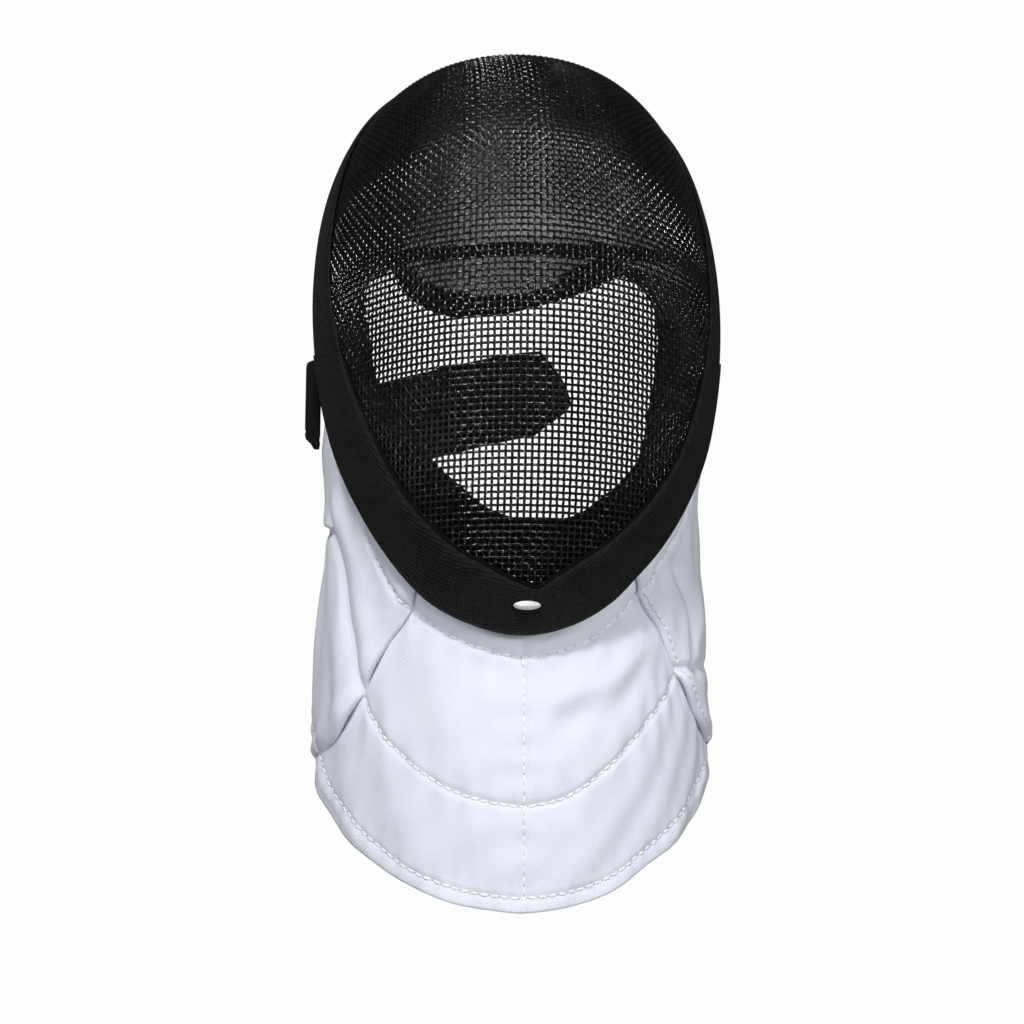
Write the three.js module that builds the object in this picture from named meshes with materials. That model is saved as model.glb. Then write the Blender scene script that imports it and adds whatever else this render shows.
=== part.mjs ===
// Fencing mask: a woven wire dome with a rim binding over the crown, a wide jaw trim
// with a stud at the chin, a lapped bib, inner padding, a spring tongue, a back strap
// and the strap's folded loop outside one cheek.
//
// Millimetres, +Z up, +X to the viewer's right, the face towards -Y. The model is built
// about the dome's own centre and then set down so that the origin is the head seat,
// where the crown pad rests on top of the head.
import * as THREE from 'three';

// ------------------------------------------------------------------ driving sizes
const DOME = {
  halfWidth: 110,     // at the widest level
  front: 160.8,       // centre to the foremost point
  rear: 180,          // how fast the crown falls away behind the centre
  up: 197,            // centre to the crown
  down: 176.8,        // centre to where the face would close below
  planPower: 1.988,   // roundness of the level sections
  upPower: 2.563,     // roundness of the upper profile
  downPower: 1.947,   // roundness of the lower profile
  wall: 1.6,          // woven wire, two wires thick
};
const SEAT = { y: -18, z: 183 };          // head seat, under the crown pad
const JAW_PROUD = 3.8, CROWN_PROUD = 3.1;  // trims, above the wire
const GAP = 0.4;                          // between neighbouring pieces

// The rim seen from the side: the height of the edge and how far back it lies.
const RIM = [
  { z: -100, y: -139 }, { z: -88, y: -137 }, { z: -76, y: -132 }, { z: -60, y: -125 },
  { z: -42, y: -116 }, { z: -24, y: -106 }, { z: -5, y: -95 }, { z: 15, y: -83.5 },
  { z: 32, y: -74 }, { z: 48, y: -66 }, { z: 62, y: -59 }, { z: 83, y: -49 },
  { z: 106, y: -37 }, { z: 130, y: -23 }, { z: 155, y: -5 }, { z: 175, y: 12 },
  { z: 200, y: 27 },
];
const EAR_ANGLE = 71;                     // where the jaw trim meets the crown binding

// Width of the jaw trim over the mesh, by angle round the rim (180 is the chin, past it
// the viewer's left), and of the crown binding (negative is the viewer's left).
const JAW_WIDTH = [
  { angle: 71, width: 26.5 }, { angle: 90, width: 26 }, { angle: 118, width: 25 }, { angle: 155, width: 25.5 },
  { angle: 163.3, width: 24 }, { angle: 169.6, width: 22 }, { angle: 176.3, width: 19 }, { angle: 182.4, width: 21.4 },
  { angle: 190.2, width: 23.7 }, { angle: 198.7, width: 25.4 }, { angle: 211, width: 25.6 },
  { angle: 229, width: 26.5 }, { angle: 239, width: 27.5 }, { angle: 248, width: 29.5 }, { angle: 257, width: 32 },
  { angle: 265, width: 33.5 }, { angle: 275, width: 34.5 }, { angle: 289, width: 34 },
];
const CROWN_WIDTH = [
  { angle: -71, width: 33 }, { angle: -61, width: 32 }, { angle: -53, width: 28 }, { angle: -46, width: 28 },
  { angle: -38, width: 27 }, { angle: -25, width: 20 }, { angle: 0, width: 13 }, { angle: 25, width: 20 },
  { angle: 38, width: 26 }, { angle: 48, width: 26 }, { angle: 55, width: 24.5 }, { angle: 71, width: 25 },
];

// The opening in the padding: its reach from the dome's centre line, by angle round
// the face (0 up, +90 the viewer's right).
const WINDOW = [
  { angle: -180, reach: 41.5 }, { angle: -160.6, reach: 40.9 }, { angle: -135.6, reach: 40.6 },
  { angle: -110, reach: 47 }, { angle: -89.8, reach: 61.8 }, { angle: -72.5, reach: 79.6 },
  { angle: -62.8, reach: 89.7 }, { angle: -54, reach: 103.4 }, { angle: -50.3, reach: 106.3 },
  { angle: -44, reach: 101.5 }, { angle: -38, reach: 104.5 }, { angle: -20, reach: 91 },
  { angle: 0, reach: 86 }, { angle: 23.8, reach: 93.5 }, { angle: 24.4, reach: 76.5 },
  { angle: 39.5, reach: 86.9 }, { angle: 47, reach: 87.2 }, { angle: 56.2, reach: 81.7 },
  { angle: 69.9, reach: 69.2 }, { angle: 85.5, reach: 60.3 }, { angle: 102, reach: 57 },
  { angle: 114, reach: 52.7 }, { angle: 131, reach: 47 }, { angle: 149.5, reach: 45.3 },
  { angle: 168.8, reach: 42.3 }, { angle: 180, reach: 41.5 },
];
const PAD = { near: 4.6, thick: 9, edge: 3, sideEdge: 6, rimStop: 12 };

// Bib levels: half width across the cheeks and the foremost point of the throat.
const BIB_LEVEL = [
  { z: 40, halfWidth: 96.5, front: -128 }, { z: -5, halfWidth: 95.5, front: -137 },
  { z: -43, halfWidth: 92.5, front: -134 }, { z: -66, halfWidth: 92.5, front: -131 },
  { z: -84, halfWidth: 94.5, front: -129 }, { z: -110, halfWidth: 97, front: -134.5 },
  { z: -143, halfWidth: 100, front: -144 }, { z: -180, halfWidth: 101, front: -152 },
  { z: -216, halfWidth: 100.5, front: -157 },
];
const BIB = {
  widestY: -50,       // where the throat section runs straight back
  wall: 2.6, lap: 3.1,
  tuck: 7, inset: 4.9, // how far it reaches up inside the rim, and its depth there
  lip: 0.1,           // share of its drop spent behind the trim's folded edge
  earAngle: 74, cornerY: -12, cornerZ: -128,
};
// Hem height by plan station (0 the front centre, 1 the widest point, past 1 to the rear).
const HEM = [
  { station: 0, z: -215.5 }, { station: 0.17, z: -213 }, { station: 0.4, z: -203.5 },
  { station: 0.62, z: -189 }, { station: 0.78, z: -173 }, { station: 1, z: -154 },
  { station: 1.4, z: -128 },
];
// Front edge of the side wings as a share of the way round, from the rim down to the hem.
const WING_EDGE = [
  { down: 0, round: 0.3 }, { down: 0.2, round: 0.315 }, { down: 0.37, round: 0.38 },
  { down: 0.56, round: 0.43 }, { down: 0.77, round: 0.49 }, { down: 0.89, round: 0.55 }, { down: 1, round: 0.62 },
];
const WING_SHIFT = 0.05;                  // the right wing's edge lies further round
const APRON_UNDER = 0.075;                // how far the apron runs on under each wing

const STUD = { width: 11.8, height: 4.3, proud: 1.3, x: 0.5, s: 12.6 };
const BROW = { height: 6.5, thick: 0.9, inset: 2.95, from: -38, to: 44 };
const BROW_LEVEL = [
  { angle: -38, z: 79 }, { angle: -10, z: 80 }, { angle: 22, z: 81 }, { angle: 36, z: 82.2 }, { angle: 47, z: 86.5 },
];
const TONGUE = { left: -62, right: 60, neck: 0.6, shift: 3, thick: 7, top: { y: 26, z: 187 }, bottomY: 27, bow: 15 };
const TONGUE_EDGE = [
  { x: -62, z: 91 }, { x: -56, z: 80.5 }, { x: -46, z: 72.5 }, { x: -29, z: 67.5 },
  { x: -8, z: 69 }, { x: 18, z: 75 }, { x: 40, z: 82 }, { x: 60, z: 91 },
];
const STRAP = { width: 46, thick: 2.2 };
const STRAP_PATH = [
  { x: -84.5, y: -74, z: -7 }, { x: -80, y: -44, z: -3 }, { x: -59, y: -13, z: 4 },
  { x: -28, y: 1, z: 12.5 }, { x: 4, y: 4, z: 20 }, { x: 33, y: 3, z: 23 },
];
// How far along its run the strap's free end is cut, by height across the strap (-1 to 1).
const STRAP_END = [{ height: -1, run: 0.87 }, { height: -0.26, run: 1 }, { height: 1, run: 0.915 }];
const LOOP = { x0: -105, x1: -98.7, y0: -66, y1: -34, z0: -7, z1: 34, slant: 5 };

// ------------------------------------------------------------------ small helpers
const RAD = Math.PI / 180;
const V = (x, y, z) => new THREE.Vector3(x, y, z);
const lerp = (a, b, t) => a + (b - a) * t;

// Smooth reading of a table by one of its columns (monotone cubic).
function reader(table, key, value) {
  const xs = table.map(r => r[key]), ys = table.map(r => r[value]);
  if (xs[0] > xs[xs.length - 1]) { xs.reverse(); ys.reverse(); }
  const n = xs.length, d = [], m = [];
  for (let i = 0; i < n - 1; i++) d.push((ys[i + 1] - ys[i]) / (xs[i + 1] - xs[i]));
  for (let i = 0; i < n; i++) {
    if (i === 0) m.push(d[0]);
    else if (i === n - 1) m.push(d[n - 2]);
    else m.push(d[i - 1] * d[i] <= 0 ? 0 : 2 / (1 / d[i - 1] + 1 / d[i]));
  }
  return x => {
    if (x <= xs[0]) return ys[0];
    if (x >= xs[n - 1]) return ys[n - 1];
    let i = 0;
    while (x > xs[i + 1]) i++;
    const h = xs[i + 1] - xs[i], t = (x - xs[i]) / h, t2 = t * t, t3 = t2 * t;
    return ys[i] * (2 * t3 - 3 * t2 + 1) + h * m[i] * (t3 - 2 * t2 + t)
      + ys[i + 1] * (3 * t2 - 2 * t3) + h * m[i + 1] * (t3 - t2);
  };
}

function geometry(points, triangles) {
  const g = new THREE.BufferGeometry();
  g.setAttribute('position', new THREE.Float32BufferAttribute(points.flatMap(p => [p.x, p.y, p.z]), 3));
  let volume = 0;
  for (let i = 0; i < triangles.length; i += 3) {
    const [a, b, c] = [points[triangles[i]], points[triangles[i + 1]], points[triangles[i + 2]]];
    volume += a.dot(b.clone().cross(c)) / 6;
  }
  if (volume < 0) {
    for (let i = 0; i < triangles.length; i += 3) {
      [triangles[i + 1], triangles[i + 2]] = [triangles[i + 2], triangles[i + 1]];
    }
  }
  g.setIndex(triangles);
  g.computeVertexNormals();
  return g;
}

// A wall: two facing patches over the unit square, joined round their four sides.
function wall(nu, nv, outer, inner) {
  const points = [], id = (side, i, j) => side * (nu + 1) * (nv + 1) + i * (nv + 1) + j;
  for (const patch of [outer, inner]) {
    for (let i = 0; i <= nu; i++) for (let j = 0; j <= nv; j++) points.push(patch(i / nu, j / nv));
  }
  const tri = [], quad = (a, b, c, d) => tri.push(a, b, c, a, c, d);
  for (let i = 0; i < nu; i++) for (let j = 0; j < nv; j++) {
    quad(id(0, i, j), id(0, i + 1, j), id(0, i + 1, j + 1), id(0, i, j + 1));
    quad(id(1, i, j), id(1, i, j + 1), id(1, i + 1, j + 1), id(1, i + 1, j));
  }
  for (let i = 0; i < nu; i++) {
    quad(id(0, i, 0), id(1, i, 0), id(1, i + 1, 0), id(0, i + 1, 0));
    quad(id(0, i, nv), id(0, i + 1, nv), id(1, i + 1, nv), id(1, i, nv));
  }
  for (let j = 0; j < nv; j++) {
    quad(id(0, 0, j), id(0, 0, j + 1), id(1, 0, j + 1), id(1, 0, j));
    quad(id(0, nu, j), id(1, nu, j), id(1, nu, j + 1), id(0, nu, j + 1));
  }
  return geometry(points, tri);
}

// A run of one flat section placed at stations, capped at both ends.
function run(section, stations, place) {
  const n = section.length, points = [], tri = [];
  for (let k = 0; k <= stations; k++) for (const p of section) points.push(place(k / stations, p.x, p.y));
  for (let k = 0; k < stations; k++) for (let i = 0; i < n; i++) {
    const a = k * n + i, b = k * n + (i + 1) % n;
    tri.push(a, b, b + n, a, b + n, a + n);
  }
  const caps = THREE.ShapeUtils.triangulateShape(section, []);
  const turn = THREE.ShapeUtils.area(section) > 0 ? 1 : -1;
  for (const f of caps) {
    const [a, b, c] = turn > 0 ? f : [f[0], f[2], f[1]];
    tri.push(a, c, b, stations * n + a, stations * n + b, stations * n + c);
  }
  return geometry(points, tri);
}

function mesh(name, geom, color, roughness, metalness = 0) {
  const m = new THREE.Mesh(geom, new THREE.MeshStandardMaterial({ color, roughness, metalness }));
  m.name = name;
  return m;
}

// ------------------------------------------------------------------ the dome's surface
// A point on the outside, by the angle round the face (0 up, 90 the viewer's right) and
// a travel from the foremost point: 1 is the widest section, past 1 it runs to the rear.
const CROWN_RUN = 100;
function domePoint(angle, travel) {
  const sx = Math.sin(angle * RAD), cz = Math.cos(angle * RAD);
  const power = cz > 0 ? DOME.upPower : DOME.downPower, tall = cz > 0 ? DOME.up : DOME.down;
  const reach = 1 / Math.pow(Math.pow(Math.abs(sx) / DOME.halfWidth, power) + Math.pow(Math.abs(cz) / tall, power), 1 / power);
  if (travel >= 1) {
    const y = (travel - 1) * CROWN_RUN, k = Math.sqrt(1 - (y / DOME.rear) ** 2);
    return V(reach * k * sx, y, reach * k * cz);
  }
  const r = Math.sin(travel * Math.PI / 2);
  const X = r * reach * Math.abs(sx) / DOME.halfWidth, Z = r * reach * Math.abs(cz) / tall;
  const level = Math.pow(Math.max(0, 1 - Math.pow(Z, power)), DOME.planPower / power);
  const Y = Math.pow(Math.max(0, level - Math.pow(X, DOME.planPower)), 1 / DOME.planPower);
  return V(r * reach * sx, -DOME.front * Y, r * reach * cz);
}
function domeNormal(angle, travel) {
  const t = Math.max(travel, 0.02), e = 0.004;
  const a = domePoint(angle, t + e).sub(domePoint(angle, t - e));
  const b = domePoint(angle + 0.4, t).sub(domePoint(angle - 0.4, t));
  const n = b.cross(a).normalize();
  return n.y > 0 && t < 0.9 ? n.negate() : (n.dot(domePoint(angle, t).setY(0)) < 0 && t >= 0.9 ? n.negate() : n);
}
const rimBack = reader(RIM, 'z', 'y');
const travelCache = new Map();
function rimTravel(angle) {
  const key = Math.abs(angle).toFixed(4);
  if (!travelCache.has(key)) {
    let lo = 0.05, hi = 1.6;
    for (let i = 0; i < 50; i++) {
      const mid = (lo + hi) / 2, p = domePoint(Math.abs(angle), mid);
      if (p.y < rimBack(p.z)) lo = mid; else hi = mid;
    }
    travelCache.set(key, (lo + hi) / 2);
  }
  return travelCache.get(key);
}
// A point by its distance from the rim along the surface and its height above the wire.
function fromRim(angle, distance, height) {
  const end = rimTravel(angle);
  if (distance < 0) {
    const tip = domePoint(angle, end), back = domePoint(angle, end - 0.01);
    const dir = tip.clone().sub(back).normalize();
    return tip.addScaledVector(dir, -distance).addScaledVector(domeNormal(angle, end), height);
  }
  let travel = end, last = domePoint(angle, end), left = distance;
  const step = 0.01;
  for (;;) {
    const next = domePoint(angle, travel - step), len = next.distanceTo(last);
    if (len >= left) { travel -= step * left / len; break; }
    left -= len; travel -= step; last = next;
  }
  return domePoint(angle, travel).addScaledVector(domeNormal(angle, travel), height);
}
// A point by its radial reach from the centre line, at a height above the wire.
function atReach(angle, reach, height) {
  let lo = 0.01, hi = rimTravel(angle);
  for (let i = 0; i < 40; i++) {
    const mid = (lo + hi) / 2, p = domePoint(angle, mid);
    if (Math.hypot(p.x, p.z) < reach) lo = mid; else hi = mid;
  }
  return domePoint(angle, lo).addScaledVector(domeNormal(angle, lo), height);
}

// ------------------------------------------------------------------ wire dome
function bowl(around, along) {
  const points = [], tri = [];
  for (const h of [0, -DOME.wall]) {
    points.push(V(0, -DOME.front - h, 0));
    for (let j = 1; j <= along; j++) for (let i = 0; i < around; i++) {
      const angle = -180 + 360 * i / around, t = rimTravel(angle) * j / along;
      points.push(domePoint(angle, t).addScaledVector(domeNormal(angle, t), h));
    }
  }
  const half = 1 + around * along, id = (side, j, i) => side * half + (j === 0 ? 0 : 1 + (j - 1) * around + (i % around));
  for (let j = 0; j < along; j++) for (let i = 0; i < around; i++) {
    const o = [id(0, j, i), id(0, j + 1, i), id(0, j + 1, i + 1), id(0, j, i + 1)];
    const n = [id(1, j, i), id(1, j + 1, i), id(1, j + 1, i + 1), id(1, j, i + 1)];
    tri.push(o[0], o[1], o[2]); if (j) tri.push(o[0], o[2], o[3]);
    tri.push(n[0], n[2], n[1]); if (j) tri.push(n[0], n[3], n[2]);
  }
  for (let i = 0; i < around; i++) {
    const a = id(0, along, i), b = id(0, along, i + 1), c = id(1, along, i + 1), d = id(1, along, i);
    tri.push(a, c, b, a, d, c);
  }
  return geometry(points, tri);
}

// ------------------------------------------------------------------ trims
// Section of a folded band hugging the wire's edge: x is the share of the width or the
// distance from the edge, y the height above the wire.
function bandSection(cover, proud, inside) {
  return [
    [1, 1.35, cover], [1, 2.1, cover], [0.93, proud * 0.88, cover], [0.55, proud, cover], [0.15, proud, cover],
    [-1.8, proud * 0.92], [-3.6, 1.4], [-4.1, -0.9], [-3.5, -3.2], [-1.4, -4.1],
    [inside, -4.1], [inside + 0.6, -2.7], [-1.3, -2.7], [-1.3, 1.35],
  ];
}
function band(table, proud, from, to, stations) {
  const width = reader(table, 'angle', 'width');
  const rows = bandSection(1, proud, 9);
  const flat = rows.map(([s, h, c]) => new THREE.Vector2(c ? s * 24 : s, h));
  const lookup = new Map(flat.map((p, i) => [p, rows[i]]));
  let cursor = 0;
  return run(flat, stations, (t, x, y) => {
    const [s, h, c] = rows[cursor++ % rows.length];
    let angle = lerp(from, to, t);
    return fromRim(angle > 180 ? angle - 360 : angle, c ? s * width(angle) : s, h);
  });
}

// ------------------------------------------------------------------ bib
const bibHalf = reader(BIB_LEVEL, 'z', 'halfWidth'), bibFront = reader(BIB_LEVEL, 'z', 'front');
const hemHeight = reader(HEM, 'station', 'z'), wingEdge = reader(WING_EDGE, 'down', 'round');
// Plan station to a point: 0 the front, 1 the widest, past 1 straight back.
function throat(station, z) {
  const w = bibHalf(z), f = BIB.widestY - bibFront(z), s = Math.abs(station), sign = Math.sign(station) || 1;
  if (s <= 1) return V(sign * w * Math.sin(s * Math.PI / 2), BIB.widestY - f * Math.cos(s * Math.PI / 2), z);
  return V(sign * (w - 6 * (s - 1) ** 2), BIB.widestY + (s - 1) * 95, z);
}
function stationOf(p) {
  const w = bibHalf(p.z), f = BIB.widestY - bibFront(p.z);
  return Math.sign(p.x || 1) * Math.atan2(Math.abs(p.x) / w, (BIB.widestY - p.y) / f) / (Math.PI / 2);
}
// round: -1..1 from one rear edge to the other; down: 0 the rim, 1 the hem.
function bibBase(round, down) {
  const a = Math.abs(round), sign = round < 0 ? -1 : 1;
  const angle = lerp(180, BIB.earAngle, Math.pow(a, 0.92));
  const top = fromRim(angle, BIB.tuck, -BIB.inset), lip = fromRim(angle, -6.5, -BIB.inset);
  if (down < BIB.lip) {
    const p = top.lerp(lip, down / BIB.lip);
    return V(sign * p.x, p.y, p.z);
  }
  const t = (down - BIB.lip) / (1 - BIB.lip), lipStation = stationOf(lip);
  const end = lerp(0, 1 + (BIB.cornerY - BIB.widestY) / 95, Math.pow(a, 0.96));
  const p = throat(lerp(lipStation, end, t), lerp(lip.z, hemHeight(end), t));
  p.addScaledVector(lip.sub(throat(lipStation, lip.z)), Math.exp(-t * 5) * (1 - t));
  return V(sign * p.x, p.y, p.z);
}
function bibPoint(round, down, depth) {
  const e = 0.01, d = Math.min(Math.max(down, 0.01), 0.99);
  const a = bibBase(Math.min(round + e, 1), d).sub(bibBase(Math.max(round - e, -1), d));
  const b = bibBase(round, Math.min(d + e, 1)).sub(bibBase(round, Math.max(d - e, 0)));
  const n = a.cross(b).normalize();
  const p = bibBase(round, down);
  if (n.dot(V(p.x, p.y + 60, 0)) < 0) n.negate();
  return p.addScaledVector(n, -depth);
}
function apron() {
  const at = (u, v, depth) => {
    const edge = wingEdge(v) + APRON_UNDER;
    return bibPoint(lerp(-edge, edge + WING_SHIFT, u), v, depth);
  };
  return wall(34, 14, (u, v) => at(u, v, BIB.lap), (u, v) => at(u, v, BIB.lap + BIB.wall));
}
function wing(side) {
  const at = (u, v, depth) => bibPoint(side * lerp(wingEdge(v) + (side > 0 ? WING_SHIFT : 0), 1, u), v, depth);
  return wall(22, 14, (u, v) => at(u, v, 0), (u, v) => at(u, v, BIB.wall));
}

// ------------------------------------------------------------------ padding
const windowReach = reader(WINDOW, 'angle', 'reach');
function pad(from, to, around, across) {
  const at = (u, v, depth) => {
    let angle = lerp(from, to, u);
    const wrap = angle > 180 ? angle - 360 : angle;
    const end = rimTravel(wrap), p = domePoint(wrap, end);
    const inner = windowReach(wrap), outer = Math.hypot(p.x, p.z);
    const rimSide = fromRim(wrap, PAD.rimStop, 0), stop = Math.min(Math.hypot(rimSide.x, rimSide.z), outer);
    const bevel = v < 0.01 ? PAD.edge + PAD.sideEdge * Math.abs(Math.sin(wrap * RAD)) : v > 0.99 ? -PAD.edge : 0;
    const edge = depth ? bevel : 0;
    const start = atReach(wrap, inner, 0), total = distanceToRim(wrap, inner);
    const d = lerp(total, PAD.rimStop, v) - edge;
    return fromRim(wrap, d, -PAD.near - depth);
  };
  return wall(around, across, (u, v) => at(u, v, 0), (u, v) => at(u, v, PAD.thick));
}
function distanceToRim(angle, reach) {
  let d = 0, travel = rimTravel(angle), last = domePoint(angle, travel);
  for (;;) {
    const next = domePoint(angle, travel - 0.01), r = Math.hypot(next.x, next.z);
    if (r <= reach && travel < 1.0 || travel < 0.05) return d;
    d += next.distanceTo(last); last = next; travel -= 0.01;
  }
}

// ------------------------------------------------------------------ brow band
const browLevel = reader(BROW_LEVEL, 'angle', 'z');
function browBand() {
  const h = BROW.height / 2, t = BROW.thick / 2;
  const section = [[-h, -t], [h, -t], [h, t], [-h, t]].map(([x, y]) => new THREE.Vector2(x, y));
  return run(section, 26, (k, x, y) => {
    const angle = lerp(BROW.from, BROW.to, k);
    return atReach(angle, (browLevel(angle) + x) / Math.cos(angle * RAD), -BROW.inset + y);
  });
}

// ------------------------------------------------------------------ spring tongue
const tongueEdge = reader(TONGUE_EDGE, 'x', 'z');
function tongue() {
  const at = (u, v, depth) => {
    const low = lerp(TONGUE.left, TONGUE.right, u), open = Math.min(1, v / 0.5);
    const x = lerp(TONGUE.neck * low + TONGUE.shift, low, open * open * (3 - 2 * open));
    const y = lerp(TONGUE.top.y, TONGUE.bottomY, v) + TONGUE.bow * Math.sin(v * Math.PI) - 0.0016 * x * x + depth;
    return V(x, y, lerp(TONGUE.top.z, tongueEdge(low), v) - 0.0046 * x * x * (1 - v) ** 2);
  };
  return wall(14, 14, (u, v) => at(u, v, 0), (u, v) => at(u, v, TONGUE.thick));
}

// ------------------------------------------------------------------ strap and loop
const strapEnd = reader(STRAP_END, 'height', 'run');
function strap() {
  const path = new THREE.CatmullRomCurve3(STRAP_PATH.map(p => V(p.x, p.y, p.z)), false, 'centripetal');
  const w = STRAP.width / 2, t = STRAP.thick / 2, mid = -0.26 * w;
  const section = [[-w, -t], [mid, -t * 1.1], [w, -t], [w, t], [mid, t * 1.1], [-w, t]].map(([x, y]) => new THREE.Vector2(x, y));
  return run(section, 30, (k, x, y) => {
    const at = k * strapEnd(x / w), p = path.getPointAt(at), d = path.getTangentAt(at), out = V(-d.y, d.x, 0).normalize();
    const upright = out.clone().cross(d).normalize();
    if (upright.z < 0) upright.negate();
    return p.addScaledVector(upright, x).addScaledVector(out, y);
  });
}
function strapLoop() {
  const mid = (LOOP.x0 + LOOP.x1) / 2, r = (LOOP.x1 - LOOP.x0) / 2, section = [];
  for (let i = 0; i <= 6; i++) {
    const a = Math.PI + Math.PI * i / 6;
    section.push(new THREE.Vector2(mid + r * Math.cos(a), LOOP.y0 + r + r * Math.sin(a)));
  }
  for (let i = 0; i <= 6; i++) {
    const a = Math.PI * i / 6;
    section.push(new THREE.Vector2(mid + r * Math.cos(a), LOOP.y1 - r + r * Math.sin(a)));
  }
  return run(section, 12, (k, x, y) => V(x, y, lerp(LOOP.z0, LOOP.z1, k) - (x - LOOP.x0) / (LOOP.x1 - LOOP.x0) * LOOP.slant * (1 - k)));
}

// ------------------------------------------------------------------ stud
function stud() {
  const points = [new THREE.Vector2(0, -0.8)];
  for (let i = 0; i <= 5; i++) {
    const a = i / 5 * Math.PI / 2;
    points.push(new THREE.Vector2(Math.cos(a), Math.sin(a) * STUD.proud));
  }
  points.splice(1, 0, new THREE.Vector2(1, -0.8));
  points[points.length - 1].x = 0;
  const g = new THREE.LatheGeometry(points, 20);
  g.scale(STUD.width / 2, 1, STUD.height / 2);
  g.rotateX(Math.PI / 2);
  return g;
}

// ------------------------------------------------------------------ assembly
const mask = new THREE.Group();
mask.add(
  mesh('mesh_bowl', bowl(84, 14), 0x141414, 0.35, 0.6),
  mesh('rim_binding', band(CROWN_WIDTH, CROWN_PROUD, -EAR_ANGLE + 0.35, EAR_ANGLE - 0.35, 66), 0x1b1b1c, 0.8),
  mesh('jaw_trim', band(JAW_WIDTH, JAW_PROUD, EAR_ANGLE + 0.1, 360 - EAR_ANGLE - 0.1, 54), 0x1b1b1c, 0.75),
  mesh('bib_front', apron(), 0xeef3fb, 0.85),
  mesh('bib_wing_left', wing(-1), 0xeef3fb, 0.85),
  mesh('bib_wing_right', wing(1), 0xeef3fb, 0.85),
  mesh('pad_crown', pad(-38, 23.6, 18, 6), 0x3c3d40, 0.9),
  mesh('pad_side_right', pad(24.4, 128, 34, 9), 0x101011, 0.9),
  mesh('pad_chin', pad(128.6, 231.4, 22, 4), 0x101011, 0.9),
  mesh('pad_side_left', pad(-128, -38.6, 24, 6), 0x101011, 0.9),
  mesh('brow_band', browBand(), 0x0c0c0c, 0.8),
  mesh('spring_tongue', tongue(), 0x6f7276, 0.85),
  mesh('back_strap', strap(), 0x0d0d0e, 0.85),
  mesh('strap_loop', strapLoop(), 0x0d0d0e, 0.85),
);
const button = mesh('chin_stud', stud(), 0xd8d9db, 0.25, 0.9);
{
  const at = fromRim(180, STUD.s, JAW_PROUD + GAP + 0.8), up = fromRim(180, STUD.s + 2, JAW_PROUD + GAP + 0.8).sub(at).normalize();
  const across = V(1, 0, 0), out = across.clone().cross(up).normalize();
  button.matrixAutoUpdate = false;
  button.matrix.makeBasis(across, up, out).setPosition(STUD.x, at.y, at.z);
}
mask.add(button);
mask.position.set(0, -SEAT.y, -SEAT.z);

export default mask;
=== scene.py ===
"""Fencing mask: woven wire dome, tape trims, quilted bib, padding, spring tongue and elastic strap.

The shapes are worked out in millimetres about the dome's own centre (+X the viewer's right,
-Y towards the viewer, +Z up) and put into the model's frame, in metres, when a mesh is made.
"""
import math

import bpy
import numpy as np
from mathutils import Matrix, Vector


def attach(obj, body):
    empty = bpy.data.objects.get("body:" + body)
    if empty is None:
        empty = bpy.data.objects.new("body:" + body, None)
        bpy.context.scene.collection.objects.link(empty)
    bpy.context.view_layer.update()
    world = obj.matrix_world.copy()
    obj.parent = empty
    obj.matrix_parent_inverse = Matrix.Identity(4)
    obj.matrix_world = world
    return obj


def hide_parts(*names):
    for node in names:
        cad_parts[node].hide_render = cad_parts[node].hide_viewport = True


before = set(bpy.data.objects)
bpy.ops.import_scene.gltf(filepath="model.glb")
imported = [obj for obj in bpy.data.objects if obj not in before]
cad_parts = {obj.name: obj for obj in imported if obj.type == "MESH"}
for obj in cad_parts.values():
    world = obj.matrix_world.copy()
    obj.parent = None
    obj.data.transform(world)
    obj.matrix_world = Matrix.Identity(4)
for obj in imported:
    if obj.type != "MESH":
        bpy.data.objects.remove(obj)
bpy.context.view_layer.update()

SEAT = np.array([0.0, -18.0, 183.0])     # the model's origin, about the dome's centre
RNG = np.random.default_rng(7)


# ---------------------------------------------------------------------- small tools
def reader(table):
    """Smooth reading of a two-column table (monotone cubic)."""
    t = np.array(sorted(table), float)
    x, y = t[:, 0], t[:, 1]
    d = np.diff(y) / np.diff(x)
    m = np.empty(len(x))
    m[0], m[-1] = d[0], d[-1]
    for i in range(1, len(x) - 1):
        m[i] = 0 if d[i - 1] * d[i] <= 0 else 2 / (1 / d[i - 1] + 1 / d[i])

    def read(v):
        v = np.clip(np.asarray(v, float), x[0], x[-1])
        i = np.clip(np.searchsorted(x, v) - 1, 0, len(x) - 2)
        h = x[i + 1] - x[i]
        s = (v - x[i]) / h
        s2, s3 = s * s, s * s * s
        return (y[i] * (2 * s3 - 3 * s2 + 1) + h * m[i] * (s3 - 2 * s2 + s)
                + y[i + 1] * (3 * s2 - 2 * s3) + h * m[i + 1] * (s3 - s2))
    return read


def unit(v):
    return v / np.maximum(np.linalg.norm(v, axis=-1, keepdims=True), 1e-12)


def smooth(a, b, v):
    t = np.clip((v - a) / (b - a), 0, 1)
    return t * t * (3 - 2 * t)


def mix(a, b, t):
    return a + (b - a) * t


def curve_points(table, count):
    """Even points along a smooth curve through the rows of a table (centripetal)."""
    p = np.array(table, float)
    ext = np.vstack([2 * p[0] - p[1], p, 2 * p[-1] - p[-2]])
    out = []
    for i in range(1, len(ext) - 2):
        a, b, c, d = ext[i - 1:i + 3]
        for s in np.linspace(0, 1, 24, endpoint=False):
            out.append(0.5 * ((2 * b) + (c - a) * s + (2 * a - 5 * b + 4 * c - d) * s * s
                              + (3 * b - a - 3 * c + d) * s ** 3))
    out.append(p[-1])
    out = np.array(out)
    L = np.concatenate([[0], np.cumsum(np.linalg.norm(np.diff(out, axis=0), axis=1))])
    q = np.linspace(0, L[-1], count)
    return np.stack([np.interp(q, L, out[:, k]) for k in range(p.shape[1])], -1)


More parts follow.
